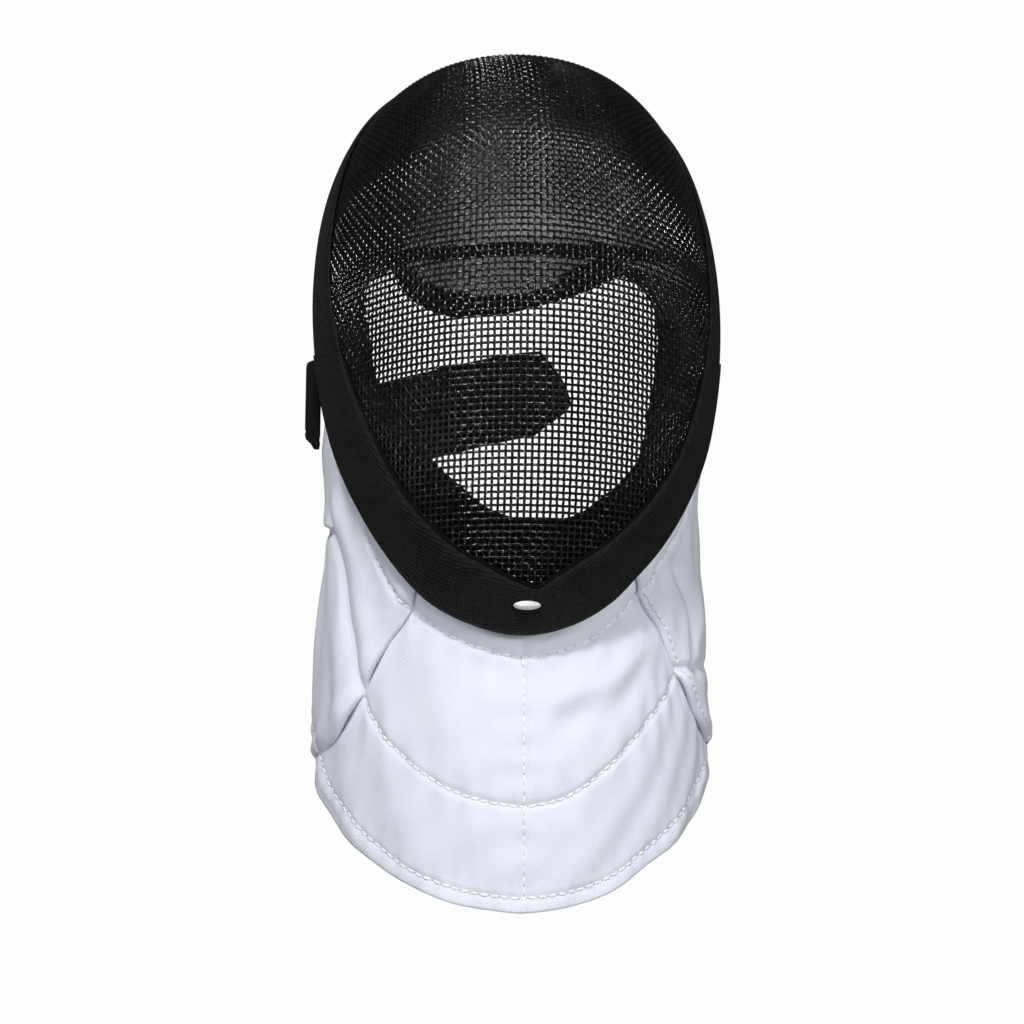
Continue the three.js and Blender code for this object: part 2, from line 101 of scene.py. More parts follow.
def make(name, points, quads, uv=None, mats=(), mat_index=None, shade=True):
    """A mesh piece from points in mm about the dome's centre."""
    co = (np.asarray(points, float).reshape(-1, 3) - SEAT) / 1000.0
    quads = np.asarray(quads, np.int32)
    me = bpy.data.meshes.new(name)
    me.vertices.add(len(co))
    me.vertices.foreach_set("co", co.astype(np.float32).ravel())
    k = quads.shape[1]
    me.loops.add(quads.size)
    me.loops.foreach_set("vertex_index", quads.ravel())
    me.polygons.add(len(quads))
    me.polygons.foreach_set("loop_start", np.arange(0, quads.size, k, dtype=np.int32))
    me.update(calc_edges=True)
    if mat_index is not None:
        me.polygons.foreach_set("material_index", np.asarray(mat_index, np.int32))
    if uv is not None:
        lay = me.uv_layers.new(name="UVMap")
        lay.data.foreach_set("uv", np.asarray(uv, float).reshape(-1, 2)[quads.ravel()].astype(np.float32).ravel())
    me.polygons.foreach_set("use_smooth", np.full(len(quads), bool(shade)))
    for m in mats:
        me.materials.append(m)
    me.validate()
    ob = bpy.data.objects.new(name, me)
    bpy.context.scene.collection.objects.link(ob)
    return ob


def grid_quads(rows, cols, base=0, closed=False, flip=False):
    i, j = np.meshgrid(np.arange(rows - 1), np.arange(cols if closed else cols - 1), indexing="ij")
    i, j = i.ravel(), j.ravel()
    jn = (j + 1) % cols
    q = np.stack([i * cols + j, (i + 1) * cols + j, (i + 1) * cols + jn, i * cols + jn], -1) + base
    return q[:, ::-1] if flip else q


def joined(parts):
    """Several (points, quads, uv) put into one."""
    P, Q, U, n = [], [], [], 0
    for p, q, u in parts:
        p = np.asarray(p, float).reshape(-1, 3)
        P.append(p)
        Q.append(np.asarray(q) + n)
        U.append(np.asarray(u, float).reshape(-1, 2))
        n += len(p)
    return np.vstack(P), np.vstack(Q), np.vstack(U)


def facing_out(points, quads, inside):
    """Turns a closed surface's faces outwards, judged by its volume."""
    p = np.asarray(points).reshape(-1, 3)
    a, b, c, d = (p[quads[:, k]] for k in range(4))
    vol = (np.einsum("ij,ij->i", a, np.cross(b, c)) + np.einsum("ij,ij->i", a, np.cross(c, d))).sum()
    return quads if (vol > 0) == inside else quads[:, ::-1]


def wall(outer, inner, uv):
    """A closed wall from two facing grids of points (rows x cols x 3) with one uv grid."""
    r, c = outer.shape[:2]
    P = np.vstack([outer.reshape(-1, 3), inner.reshape(-1, 3)])
    n = r * c
    Q = [grid_quads(r, c), grid_quads(r, c, n, flip=True)]
    i = np.arange(r - 1)
    j = np.arange(c - 1)
    ids = lambda a, b: a * c + b
    Q.append(np.stack([ids(i, 0), ids(i, 0) + n, ids(i + 1, 0) + n, ids(i + 1, 0)], -1))
    Q.append(np.stack([ids(i, c - 1), ids(i + 1, c - 1), ids(i + 1, c - 1) + n, ids(i, c - 1) + n], -1))
    Q.append(np.stack([ids(0, j), ids(0, j + 1), ids(0, j + 1) + n, ids(0, j) + n], -1))
    Q.append(np.stack([ids(r - 1, j), ids(r - 1, j) + n, ids(r - 1, j + 1) + n, ids(r - 1, j + 1)], -1))
    Q = np.vstack(Q)
    U = np.vstack([uv.reshape(-1, 2), uv.reshape(-1, 2)])
    return P, facing_out(P, Q, True), U


def arc_uv(grid):
    """uv in metres along a grid's rows and columns."""
    du = np.linalg.norm(np.diff(grid, axis=0), axis=2)
    dv = np.linalg.norm(np.diff(grid, axis=1), axis=2)
    u = np.vstack([np.zeros((1, grid.shape[1])), np.cumsum(du, axis=0)])
    v = np.hstack([np.zeros((grid.shape[0], 1)), np.cumsum(dv, axis=1)])
    mid = grid.shape[0] // 2
    u = u - u[mid][None]
    return np.stack([u, v], -1) / 1000.0


def grid_normals(g, outward=None):
    a = np.gradient(g, axis=0)
    b = np.gradient(g, axis=1)
    n = unit(np.cross(a, b))
    if outward is not None:
        n = n * np.sign((n * outward).sum(-1, keepdims=True) + 1e-12)
    return n


# ---------------------------------------------------------------------- materials
class Nodes:
    """Short hand for a node tree."""
    def __init__(self, name):
        self.mat = bpy.data.materials.new(name)
        self.mat.use_nodes = True
        self.t = self.mat.node_tree
        self.t.nodes.clear()
        self.out = self.t.nodes.new("ShaderNodeOutputMaterial")
        self.bsdf = self.t.nodes.new("ShaderNodeBsdfPrincipled")
        self.t.links.new(self.bsdf.outputs[0], self.out.inputs["Surface"])

    def set(self, **kw):
        for k, v in kw.items():
            s = self.bsdf.inputs[k.replace("_", " ")]
            if hasattr(v, "is_linked") or isinstance(v, bpy.types.NodeSocket):
                self.t.links.new(v, s)
            else:
                s.default_value = v

    def node(self, kind, inputs=None, **props):
        n = self.t.nodes.new("ShaderNode" + kind)
        for k, v in props.items():
            setattr(n, k, v)
        for k, v in (inputs or {}).items():
            s = n.inputs[k]
            if isinstance(v, bpy.types.NodeSocket):
                self.t.links.new(v, s)
            else:
                s.default_value = v
        return n

    def math(self, op, a, b=None, c=None):
        n = self.node("Math", operation=op)
        for k, v in enumerate((a, b, c)):
            if v is None:
                continue
            if isinstance(v, bpy.types.NodeSocket):
                self.t.links.new(v, n.inputs[k])
            else:
                n.inputs[k].default_value = v
        return n.outputs[0]

    def uv(self):
        return self.node("UVMap", uv_map="UVMap").outputs[0]

    def obj(self):
        return self.node("TexCoord").outputs["Object"]

    def split(self, v):
        n = self.node("SeparateXYZ", {0: v})
        return n.outputs[0], n.outputs[1], n.outputs[2]

    def noise(self, vec, scale, detail=2.0, rough=0.5, dist=0.0):
        n = self.node("TexNoise", {"Vector": vec, "Scale": scale, "Detail": detail, "Roughness": rough, "Distortion": dist})
        return n.outputs["Fac"]

    def ramp(self, fac, stops):
        n = self.node("ValToRGB", {"Fac": fac})
        e = n.color_ramp.elements
        while len(e) < len(stops):
            e.new(0.5)
        for el, (pos, col) in zip(e, stops):
            el.position = pos
            el.color = col if len(col) == 4 else (*col, 1.0)
        return n.outputs["Color"]

    def range(self, v, lo, hi, a, b):
        n = self.node("MapRange", {"Value": v, "From Min": lo, "From Max": hi, "To Min": a, "To Max": b})
        n.clamp = True
        return n.outputs["Result"]

    def mixc(self, fac, a, b, kind="MIX"):
        n = self.node("Mix", data_type="RGBA", blend_type=kind)
        for k, v in ((0, fac), (6, a), (7, b)):
            if isinstance(v, bpy.types.NodeSocket):
                self.t.links.new(v, n.inputs[k])
            else:
                n.inputs[k].default_value = v if k == 0 else (*v, 1.0)
        return n.outputs[2]

    def bump(self, height, distance, strength=1.0, normal=None):
        ins = {"Height": height, "Distance": distance, "Strength": strength}
        if normal is not None:
            ins["Normal"] = normal
        return self.node("Bump", ins).outputs[0]


def waves(n, coord, period):
    """0..1 ripple across a coordinate in metres."""
    s = n.math("SINE", n.math("MULTIPLY", coord, 2 * math.pi / period))
    return n.math("MULTIPLY_ADD", s, 0.5, 0.5)


def mat_wire():
    n = Nodes("enamelled_wire")
    o = n.obj()
    blot = n.noise(o, 240.0, 3.0, 0.6)
    wear = n.noise(o, 1400.0, 2.0, 0.55)
    col = n.ramp(blot, [(0.3, (0.0015, 0.0015, 0.0016)), (0.7, (0.004, 0.004, 0.0042))])
    col = n.mixc(n.range(wear, 0.66, 0.74, 0.0, 0.5), col, (0.035, 0.035, 0.036))
    n.set(Base_Color=col, Roughness=n.range(blot, 0.25, 0.75, 0.2, 0.34),
          Normal=n.bump(wear, 0.00006, 0.5))
    n.bsdf.inputs["Coat Weight"].default_value = 1.0
    n.bsdf.inputs["Coat Roughness"].default_value = 0.05
    n.bsdf.inputs["Coat IOR"].default_value = 1.8
    n.bsdf.inputs["Specular IOR Level"].default_value = 0.06
    return n.mat


def mat_tape():
    n = Nodes("woven_tape")
    u, v, _ = n.split(n.uv())
    wob = n.noise(n.uv(), 160.0, 2.0, 0.5)
    uu = n.math("ADD", u, n.math("MULTIPLY", wob, 0.0012))
    vv = n.math("ADD", v, n.math("MULTIPLY", wob, 0.0016))
    ribs = waves(n, n.math("ADD", uu, n.math("MULTIPLY", vv, 0.35)), 0.00125)
    picks = waves(n, n.math("ADD", vv, n.math("MULTIPLY", uu, -0.2)), 0.00155)
    weave = n.math("MULTIPLY", ribs, picks)
    grain = n.noise(n.uv(), 2600.0, 2.0, 0.6)
    big = n.noise(n.uv(), 45.0, 3.0, 0.6)
    h = n.math("ADD", weave, n.math("MULTIPLY", grain, 0.35))
    col = n.mixc(weave, (0.0022, 0.0022, 0.0024), (0.0185, 0.0187, 0.0192))
    col = n.mixc(n.range(big, 0.35, 0.7, 0.0, 0.3), col, (0.016, 0.016, 0.0165))
    n.set(Base_Color=col, Roughness=n.range(big, 0.3, 0.7, 0.5, 0.66), Normal=n.bump(h, 0.0005, 1.0))
    n.bsdf.inputs["Sheen Weight"].default_value = 0.03
    n.bsdf.inputs["Sheen Roughness"].default_value = 0.4
    n.bsdf.inputs["Specular IOR Level"].default_value = 0.2
    return n.mat


# Near-black matte strip just past the jaw tape's inner edge: painted shadow of the gap between tape and wire.
def mat_shadow_strip():
    n = Nodes("painted_shadow_strip")
    g = n.noise(n.obj(), 1800.0, 2.0, 0.6)
    n.set(Base_Color=n.mixc(g, (0.002, 0.002, 0.002), (0.006, 0.006, 0.006)), Roughness=n.range(g, 0.3, 0.7, 0.75, 0.95),
          Normal=n.bump(g, 0.00005, 0.5))
    n.bsdf.inputs["Specular IOR Level"].default_value = 0.05
    return n.mat


def mat_bib(name="bib_twill", lining=False):
    n = Nodes(name)
    u, v, _ = n.split(n.uv())
    wob = n.noise(n.uv(), 60.0, 2.0, 0.5)
    d1 = n.math("ADD", n.math("ADD", u, v), n.math("MULTIPLY", wob, 0.0010))
    d2 = n.math("SUBTRACT", u, n.math("MULTIPLY", v, 0.45))
    rib = waves(n, d1, 0.00150)
    cross = waves(n, n.math("ADD", d2, n.math("MULTIPLY", wob, 0.0006)), 0.00085)
    twill = n.math("MULTIPLY_ADD", cross, 0.35, n.math("MULTIPLY", rib, 0.65))
    fuzz = n.noise(n.uv(), 3800.0, 2.0, 0.65)
    fold = n.noise(n.uv(), 22.0, 3.0, 0.55)
    base = n.mixc(twill, (0.69, 0.725, 0.83), (0.845, 0.865, 0.925))
    # patches mixed towards a darker bluish white where the fold noise rises: painted shade of soft folds
    col = n.mixc(n.range(fold, 0.35, 0.72, 0.0, 0.5), base, (0.745, 0.78, 0.88))
    h = n.math("MULTIPLY_ADD", fuzz, 0.3, twill)
    b = n.bump(fold, 0.0011, 0.5)
    n.set(Base_Color=col, Roughness=n.range(fuzz, 0.3, 0.7, 0.78, 0.92), Normal=n.bump(h, 0.00016, 0.7, b))
    n.bsdf.inputs["Sheen Weight"].default_value = 0.2
    n.bsdf.inputs["Sheen Roughness"].default_value = 0.5
    n.bsdf.inputs["Specular IOR Level"].default_value = 0.3
    return n.mat


def mat_thread():
    n = Nodes("white_thread")
    u, v, _ = n.split(n.uv())
    ply = waves(n, n.math("ADD", u, v), 0.0009)
    fz = n.noise(n.obj(), 5200.0, 2.0, 0.6)
    n.set(Base_Color=n.mixc(ply, (0.80, 0.82, 0.87), (0.88, 0.89, 0.92)), Roughness=n.range(fz, 0.3, 0.7, 0.6, 0.8),
          Normal=n.bump(n.math("ADD", ply, fz), 0.00006, 0.6))
    n.bsdf.inputs["Sheen Weight"].default_value = 0.2
    return n.mat


# Blue-grey for the flat discs at the needle holes: painted shade of the holes.
def mat_hole_shade():
    n = Nodes("needle_hole_shade")
    g = n.noise(n.obj(), 3000.0, 1.0, 0.5)
    n.set(Base_Color=n.mixc(g, (0.33, 0.36, 0.46), (0.44, 0.47, 0.57)), Roughness=n.range(g, 0.2, 0.8, 0.85, 0.95))
    return n.mat


def mat_pad(name, dark, light, scale=1.0):
    n = Nodes(name)
    o = n.obj()
    pile = n.noise(o, 2300.0 * scale, 3.0, 0.7)
    tuft = n.noise(o, 620.0 * scale, 2.0, 0.6, 0.4)
    nap = n.noise(o, 38.0, 3.0, 0.55)
    f = n.math("MULTIPLY_ADD", nap, 0.5, n.math("MULTIPLY", tuft, 0.5))
    n.set(Base_Color=n.mixc(n.range(f, 0.3, 0.7, 0.0, 1.0), dark, light), Roughness=n.range(pile, 0.3, 0.7, 0.85, 0.97),
          Normal=n.bump(n.math("MULTIPLY_ADD", tuft, 0.8, pile), 0.00035, 0.8))
    n.bsdf.inputs["Sheen Weight"].default_value = 0.05
    n.bsdf.inputs["Sheen Roughness"].default_value = 0.6
    n.bsdf.inputs["Specular IOR Level"].default_value = 0.08
    return n.mat


def mat_crown():
    """Grey brushed cloth over the brow with a black lower edge; towards its top and its sides the grey fades to black,
    painted shade.
    """
    n = Nodes("crown_cloth")
    o = n.obj()
    x, y, z = n.split(o)
    wob = n.math("MULTIPLY_ADD", n.noise(o, 40.0, 3.0, 0.6), 0.03, -0.015)
    # top and side: the grey fades to black upwards and outwards, painted shade; low: the black lower edge
    top = n.range(n.math("ADD", z, wob), -0.088, -0.030, 1.0, 0.0)
    dip_right = n.math("MULTIPLY", n.math("MAXIMUM", n.math("SUBTRACT", x, 0.025), 0.0), 0.2)
    low = n.range(n.math("ADD", z, dip_right), -0.1035, -0.1010, 0.0, 1.0)
    side = n.range(n.math("ADD", n.math("ABSOLUTE", n.math("SUBTRACT", x, 0.012)), wob), 0.026, 0.074, 1.0, 0.0)
    pile = n.noise(o, 2300.0, 3.0, 0.7)
    tuft = n.noise(o, 620.0, 2.0, 0.6, 0.4)
    grey = n.mixc(n.range(tuft, 0.3, 0.7, 0.0, 1.0), (0.64, 0.645, 0.66), (0.8, 0.805, 0.82))
    n.set(Base_Color=n.mixc(n.math("MULTIPLY", n.math("MULTIPLY", top, side), low), (0.006, 0.006, 0.0065), grey),
          Roughness=n.range(pile, 0.3, 0.7, 0.85, 0.97), Normal=n.bump(n.math("MULTIPLY_ADD", tuft, 0.8, pile), 0.00035, 0.8))
    return n.mat


def mat_webbing():
    n = Nodes("elastic_webbing")
    u, v, _ = n.split(n.uv())
    rib = waves(n, v, 0.0016)
    knit = waves(n, u, 0.0009)
    w = n.math("MULTIPLY_ADD", rib, 0.6, n.math("MULTIPLY", knit, 0.4))
    fz = n.noise(n.uv(), 2400.0, 2.0, 0.6)
    n.set(Base_Color=n.mixc(w, (0.003, 0.003, 0.0033), (0.009, 0.009, 0.0096)), Roughness=n.range(fz, 0.3, 0.7, 0.7, 0.9),
          Normal=n.bump(n.math("MULTIPLY_ADD", fz, 0.25, w), 0.00016, 0.7))
    n.bsdf.inputs["Sheen Weight"].default_value = 0.03
    n.bsdf.inputs["Specular IOR Level"].default_value = 0.12
    return n.mat


def mat_stud():
    n = Nodes("polished_stud")
    o = n.obj()
    br = n.noise(n.node("Mapping", {"Vector": o, "Scale": (300.0, 3000.0, 3000.0)}).outputs[0], 1.0, 3.0, 0.6)
    sc = n.noise(o, 900.0, 2.0, 0.5)
    n.set(Base_Color=n.mixc(sc, (0.84, 0.84, 0.85), (0.93, 0.93, 0.935)), Roughness=n.range(br, 0.3, 0.7, 0.4, 0.52),
          Normal=n.bump(br, 0.00002, 0.4))
    n.bsdf.inputs["Metallic"].default_value = 0.45
    return n.mat


WIRE, TAPE, SHADOW_STRIP, BIB, LINING = mat_wire(), mat_tape(), mat_shadow_strip(), mat_bib(), mat_bib("bib_lining", True)
THREAD, HOLE_SHADE, WEB, STUD = mat_thread(), mat_hole_shade(), mat_webbing(), mat_stud()
PADCLOTH = mat_pad("pad_cloth", (0.004, 0.004, 0.0044), (0.009, 0.009, 0.0098))


def mat_tongue():
    """Grey brushed cloth with a broad black binding down its sides and round its lower end."""
    n = Nodes("tongue_cloth")
    o = n.obj()
    x, y, z = n.split(o)
    wob = n.math("MULTIPLY_ADD", n.noise(o, 60.0, 2.0, 0.5), 0.05, -0.025)
    across = n.math("MULTIPLY", n.math("DIVIDE", n.math("ADD", x, 0.0105), 0.04), n.range(z, -0.0935, -0.0800, 1.0, 0.45))
    below = n.math("DIVIDE", n.math("MINIMUM", n.math("ADD", z, 0.0925), 0.0), 0.0135)
    off = n.math("ADD", n.math("SQRT", n.math("ADD", n.math("MULTIPLY", across, across), n.math("MULTIPLY", below, below))), wob)
    inside = n.range(off, 0.97, 1.03, 1.0, 0.0)
    pile = n.noise(o, 2300.0, 3.0, 0.7)
    tuft = n.noise(o, 620.0, 2.0, 0.6, 0.4)
    grey = n.mixc(n.range(tuft, 0.3, 0.7, 0.0, 1.0), (0.5, 0.505, 0.52), (0.64, 0.645, 0.66))
    n.set(Base_Color=n.mixc(inside, (0.005, 0.005, 0.0055), grey), Roughness=n.range(pile, 0.3, 0.7, 0.85, 0.97),
          Normal=n.bump(n.math("MULTIPLY_ADD", tuft, 0.8, pile), 0.00035, 0.8))
    return n.mat


TONGUECLOTH = mat_tongue()
CROWNCLOTH = mat_crown()
PIPING = mat_pad("piping_cloth", (0.003, 0.003, 0.003), (0.007, 0.007, 0.0075), 1.5)

# ---------------------------------------------------------------------- camera
EYE = np.array([-57.7, -907.7, -18.0])
AIM = np.array([0.0, -82.8, 0.0])
ROLL = math.radians(0.999)
cam_data = bpy.data.cameras.new("camera")
cam = bpy.data.objects.new("camera", cam_data)
bpy.context.scene.collection.objects.link(cam)
bpy.context.scene.camera = cam
cam_data.sensor_width = 36.0
cam_data.lens = 36.0 * 1694.52 / 1024.0
cam_data.shift_x = (512.0 - 519.10) / 1024.0
cam_data.shift_y = (430.0 - 512.0) / 1024.0
cam_data.clip_start, cam_data.clip_end = 0.01, 50.0
look = Vector(AIM - EYE).to_track_quat("-Z", "Y").to_matrix().to_4x4()
cam.matrix_world = Matrix.Translation(Vector((EYE - SEAT) / 1000.0)) @ look @ Matrix.Rotation(ROLL, 4, "Z")

# ---------------------------------------------------------------------- the dome's surface
HALF, FRONT, UP, DOWN, REAR = 110.0, 160.85, 195.1, 176.8, 180.0
PN, PU, PD = 1.988, 2.563, 1.947
PITCH_ROW, PITCH_COL = 2.95, 3.027
RIM = [(-100, -139), (-88, -137), (-76, -132), (-60, -125), (-42, -116), (-24, -106), (-5, -95),
       (15, -83.5), (32, -74), (48, -66), (62, -59), (83, -49), (106, -37), (130, -23), (155, -5),
       (175, 12), (200, 27)]
rim_back = reader(RIM)


def field(P):
    """About 0 on the dome, growing outwards."""
    x, y, z = P[..., 0], P[..., 1], P[..., 2]
    k = np.sqrt(np.clip(1 - (np.maximum(y, 0) / REAR) ** 2, 0.05, 1))
    X, Y = np.abs(x) / (HALF * k), np.maximum(-y, 0) / FRONT
    up = z > 0
    Z = np.where(up, z / (UP * k), -z / (DOWN * k))
    m = np.where(up, PU, PD)
    S = X ** PN + Y ** PN + 1e-12
    return (S ** (m / PN) + np.abs(Z) ** m) ** (1 / m) - 1


def slope(P, e=0.01):
    g = np.empty_like(P)
    for k in range(3):
        d = np.zeros(3)
        d[k] = e
        g[..., k] = (field(P + d) - field(P - d)) / (2 * e)
    return g


def settle(P, conds, rounds=5):
    """Newton steps on to the dome under two more conditions."""
    for _ in range(rounds):
        J, r = [slope(P)], [field(P)]
        for c in conds:
            v, g = c(P)
            J.append(g)
            r.append(v)
        J = np.stack(J, -2) + 1e-12 * np.eye(3)
        d = np.linalg.solve(J, np.stack(r, -1)[..., None])[..., 0]
        L = np.linalg.norm(d, axis=-1, keepdims=True)
        P = P - d * np.minimum(1, 3.0 / np.maximum(L, 1e-9))
    return P


def at_distance(Q, p):
    def c(P):
        d = P - Q
        L = np.maximum(np.linalg.norm(d, axis=-1), 1e-9)
        return L - p, d / L[..., None]
    return c


def on_plane(nv, off):
    nv = np.array(nv, float)
    return lambda P: ((P @ nv) - off, np.broadcast_to(nv, P.shape))


def onto_dome(P, rounds=3):
    for _ in range(rounds):
        g = slope(P)
        P = P - g * (field(P) / (g ** 2).sum(-1))[..., None]
    return P


def woven_net(nu, nup, ndown, level=-8.36, droop=-11.468):
    """Crossings of a net of even pitch laid over the right half of the dome."""
    P0 = settle(np.array([[0.0, -FRONT, level]]), [on_plane((1, 0, 0), 0), on_plane((0, 0, 1), level)], 20)[0]
    t = math.tan(math.radians(droop))
    nv = np.array([0, -t, 1.0])
    off = nv @ P0
    row = [P0]
    for i in range(nu):
        g = row[-1] + (row[-1] - row[-2] if i else np.array([PITCH_ROW, 0, 0]))
        row.append(settle(g[None], [on_plane(nv, off), at_distance(row[-1][None], PITCH_ROW)])[0])
    row = np.array(row)

    def half(n, s):
        c = [P0]
        for j in range(n):
            g = c[-1] + (c[-1] - c[-2] if j else np.array([0, 0, s * PITCH_COL]))
            c.append(settle(g[None], [on_plane((1, 0, 0), 0), at_distance(c[-1][None], PITCH_COL)])[0])
        G = np.full((nu + 1, n + 1, 3), np.nan)
        G[:, 0], G[0] = row, np.array(c)
        for k in range(2, nu + n + 1):
            i = np.arange(max(1, k - n), min(nu, k - 1) + 1)
            j = k - i
            a, b, cc = G[i - 1, j], G[i, j - 1], G[i - 1, j - 1]
            ok = np.isfinite(a).all(-1) & np.isfinite(b).all(-1) & (a[:, 1] < 75) & (b[:, 1] < 75)
            if ok.any():
                i, j, a, b, cc = i[ok], j[ok], a[ok], b[ok], cc[ok]
                G[i, j] = settle(a + b - cc, [at_distance(a, PITCH_ROW), at_distance(b, PITCH_COL)])
        return G
    return np.concatenate([half(ndown, -1.0)[:, :0:-1], half(nup, 1.0)], axis=1)


# points on the dome by the angle round the face and a travel from its foremost point
def dome_point(angle, travel):
    a = np.radians(np.abs(angle))
    sgn = np.where(np.asarray(angle) < 0, -1.0, 1.0)
    sx, cz = np.sin(a), np.cos(a)
    p = np.where(cz > 0, PU, PD)
    tall = np.where(cz > 0, UP, DOWN)
    reach = 1 / ((np.abs(sx) / HALF) ** p + (np.abs(cz) / tall) ** p) ** (1 / p)
    r = np.sin(np.minimum(travel, 1) * math.pi / 2)
    X, Z = r * reach * np.abs(sx) / HALF, r * reach * np.abs(cz) / tall
    lev = np.maximum(0, 1 - Z ** p) ** (PN / p)
    Y = np.maximum(0, lev - X ** PN) ** (1 / PN)
    y = np.maximum(travel - 1, 0) * 100.0
    k = np.sqrt(1 - (y / REAR) ** 2)
    return np.stack([sgn * r * reach * sx * k, np.where(travel >= 1, y, -FRONT * Y), r * reach * cz * k], -1)


TRAVEL = np.linspace(0.02, 1.6, 700)
_lines = {}


def meridian(angle):
    """Travel, distance from the rim and points down one meridian."""
    key = round(float(abs(angle)), 4)
    if key not in _lines:
        pts = dome_point(key, TRAVEL)
        past = pts[:, 1] - rim_back(pts[:, 2])
        i = int(np.argmax(past > 0))
        f = -past[i - 1] / (past[i] - past[i - 1])
        L = np.concatenate([[0], np.cumsum(np.linalg.norm(np.diff(pts, axis=0), axis=1))])
        end = L[i - 1] + f * (L[i] - L[i - 1])
        _lines[key] = (end - L, pts)
    return _lines[key]


ANGLE_STEP, REACH_STEP = 0.5, 0.5
REACHES = np.arange(-24.0, 340.0, REACH_STEP)
_sheet = []


def from_rim(angle, distance, height):
    """Points by angle, distance in from the rim along the wire, and height above it."""
    if not _sheet:
        rows = []
        for a in np.arange(0, 180.01, ANGLE_STEP):
            d, pts = meridian(a)
            rows.append(np.stack([np.interp(-REACHES, -d, pts[:, k]) for k in range(3)], -1))
        _sheet.append(np.array(rows))
    T = _sheet[0]
    angle, distance, height = np.broadcast_arrays(np.asarray(angle, float), distance, height)
    fi, fj = np.abs(angle) / ANGLE_STEP, (distance - REACHES[0]) / REACH_STEP
    i, j = np.clip(fi.astype(int), 0, T.shape[0] - 2), np.clip(fj.astype(int), 0, T.shape[1] - 2)
    u, v = (fi - i)[..., None], (fj - j)[..., None]
    out = mix(mix(T[i, j], T[i + 1, j], u), mix(T[i, j + 1], T[i + 1, j + 1], u), v)
    out[..., 0] *= np.where(angle < 0, -1.0, 1.0)
    return out + unit(slope(out)) * height[..., None]


def rim_distance(angle, reach):
    """Distance in from the rim of the point at a radial reach from the centre line."""
    d, pts = meridian(angle)
    r = np.hypot(pts[:, 0], pts[:, 2])
    i = int(np.argmax(r >= reach)) if (r >= reach).any() else len(r) - 1
    i = max(i, 1)
    f = (reach - r[i - 1]) / max(r[i] - r[i - 1], 1e-9)
    return mix(d[i - 1], d[i], np.clip(f, 0, 1))


# ---------------------------------------------------------------------- woven wire
WIRE_R = 0.66
CRIMP = 0.50
SHIFT_U, SHIFT_V = 0.202, 0.163
SIDES = 5


def taps(s):
    """Four-point weights for a reading a fraction s past a crossing."""
    return np.array([-0.5 * s + s * s - 0.5 * s ** 3, 1 - 2.5 * s * s + 1.5 * s ** 3,
                     0.5 * s + 2 * s * s - 1.5 * s ** 3, -0.5 * s * s + 0.5 * s ** 3])


def shifted(G, s, axis):
    n = G.shape[axis] - 3
    w = taps(s)
    return sum(w[k] * np.take(G, np.arange(k, k + n), axis=axis) for k in range(4))


def wires():
    R = woven_net(66, 108, 48)
    L = R[:0:-1].copy()
    L[..., 0] *= -1
    G = np.concatenate([L, R], axis=0)
    grids = {}
    for hu in (0, 0.5):
        for hv in (0, 0.5):
            if hu and hv:
                continue
            grids[hu, hv] = onto_dome(shifted(shifted(G, SHIFT_U + hu, 0), SHIFT_V + hv, 1))
    cross = grids[0, 0]
    nu, nv = cross.shape[:2]
    sign = np.where((np.add.outer(np.arange(nu), np.arange(nv)) % 2) == 0, 1.0, -1.0)

    def tubes(main, mid, sgn, keep):
        """Rows of main and mid points (wire x along x 3) made into crimped tubes."""
        parts = []
        for w in range(main.shape[0]):
            if not keep(w):
                continue
            line = np.empty((2 * main.shape[1] - 1, 3))
            line[0::2] = main[w]
            line[1::2] = mid[w][:-1]
            lift = np.zeros(len(line))
            lift[0::2] = CRIMP * sgn[w]
            good = np.isfinite(line).all(1)
            inside = good & (np.nan_to_num(line[:, 1], nan=1e3) < rim_back(np.nan_to_num(line[:, 2]))) \
                & (np.nan_to_num(line[:, 2], nan=-1e3) > -99)
            idx = np.flatnonzero(inside)
            if len(idx) < 4:
                continue
            for run in np.split(idx, np.flatnonzero(np.diff(idx) > 1) + 1):
                if len(run) < 4:
                    continue
                P = line[run]
                N = unit(slope(P))
                P = P + N * lift[run][:, None]
                T = unit(np.gradient(P, axis=0))
                B = unit(np.cross(T, N))
                N2 = np.cross(B, T)
                th = np.arange(SIDES) * 2 * math.pi / SIDES + math.pi / SIDES
                ring = P[:, None] + WIRE_R * (np.cos(th)[None, :, None] * N2[:, None] + np.sin(th)[None, :, None] * B[:, None])
                parts.append((ring, grid_quads(len(P), SIDES, closed=True)))
        P = np.vstack([p.reshape(-1, 3) for p, _ in parts])
        Q, n = [], 0
        for p, q in parts:
            Q.append(q + n)
            n += p.shape[0] * SIDES
        return P, np.vstack(Q)

    halfv = int(np.argmin(np.abs(cross[nu // 2, :, 2] - 60)))
    rows_main, rows_mid = np.swapaxes(cross, 0, 1), np.swapaxes(grids[0.5, 0], 0, 1)
    sets = {
        "wire_rows_upper": (rows_main, rows_mid, sign.T, lambda w: w > halfv),
        "wire_rows_lower": (rows_main, rows_mid, sign.T, lambda w: w <= halfv),
        "wire_columns_left": (cross, grids[0, 0.5], -sign, lambda w: w < nu // 2),
        "wire_columns_right": (cross, grids[0, 0.5], -sign, lambda w: w >= nu // 2),
    }
    for name, (a, b, s, keep) in sets.items():
        P, Q = tubes(a, b, s, keep)
        ob = make(name, P, Q[:, ::-1], mats=[WIRE])
        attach(ob, "root")
        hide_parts("mesh_bowl")


wires()


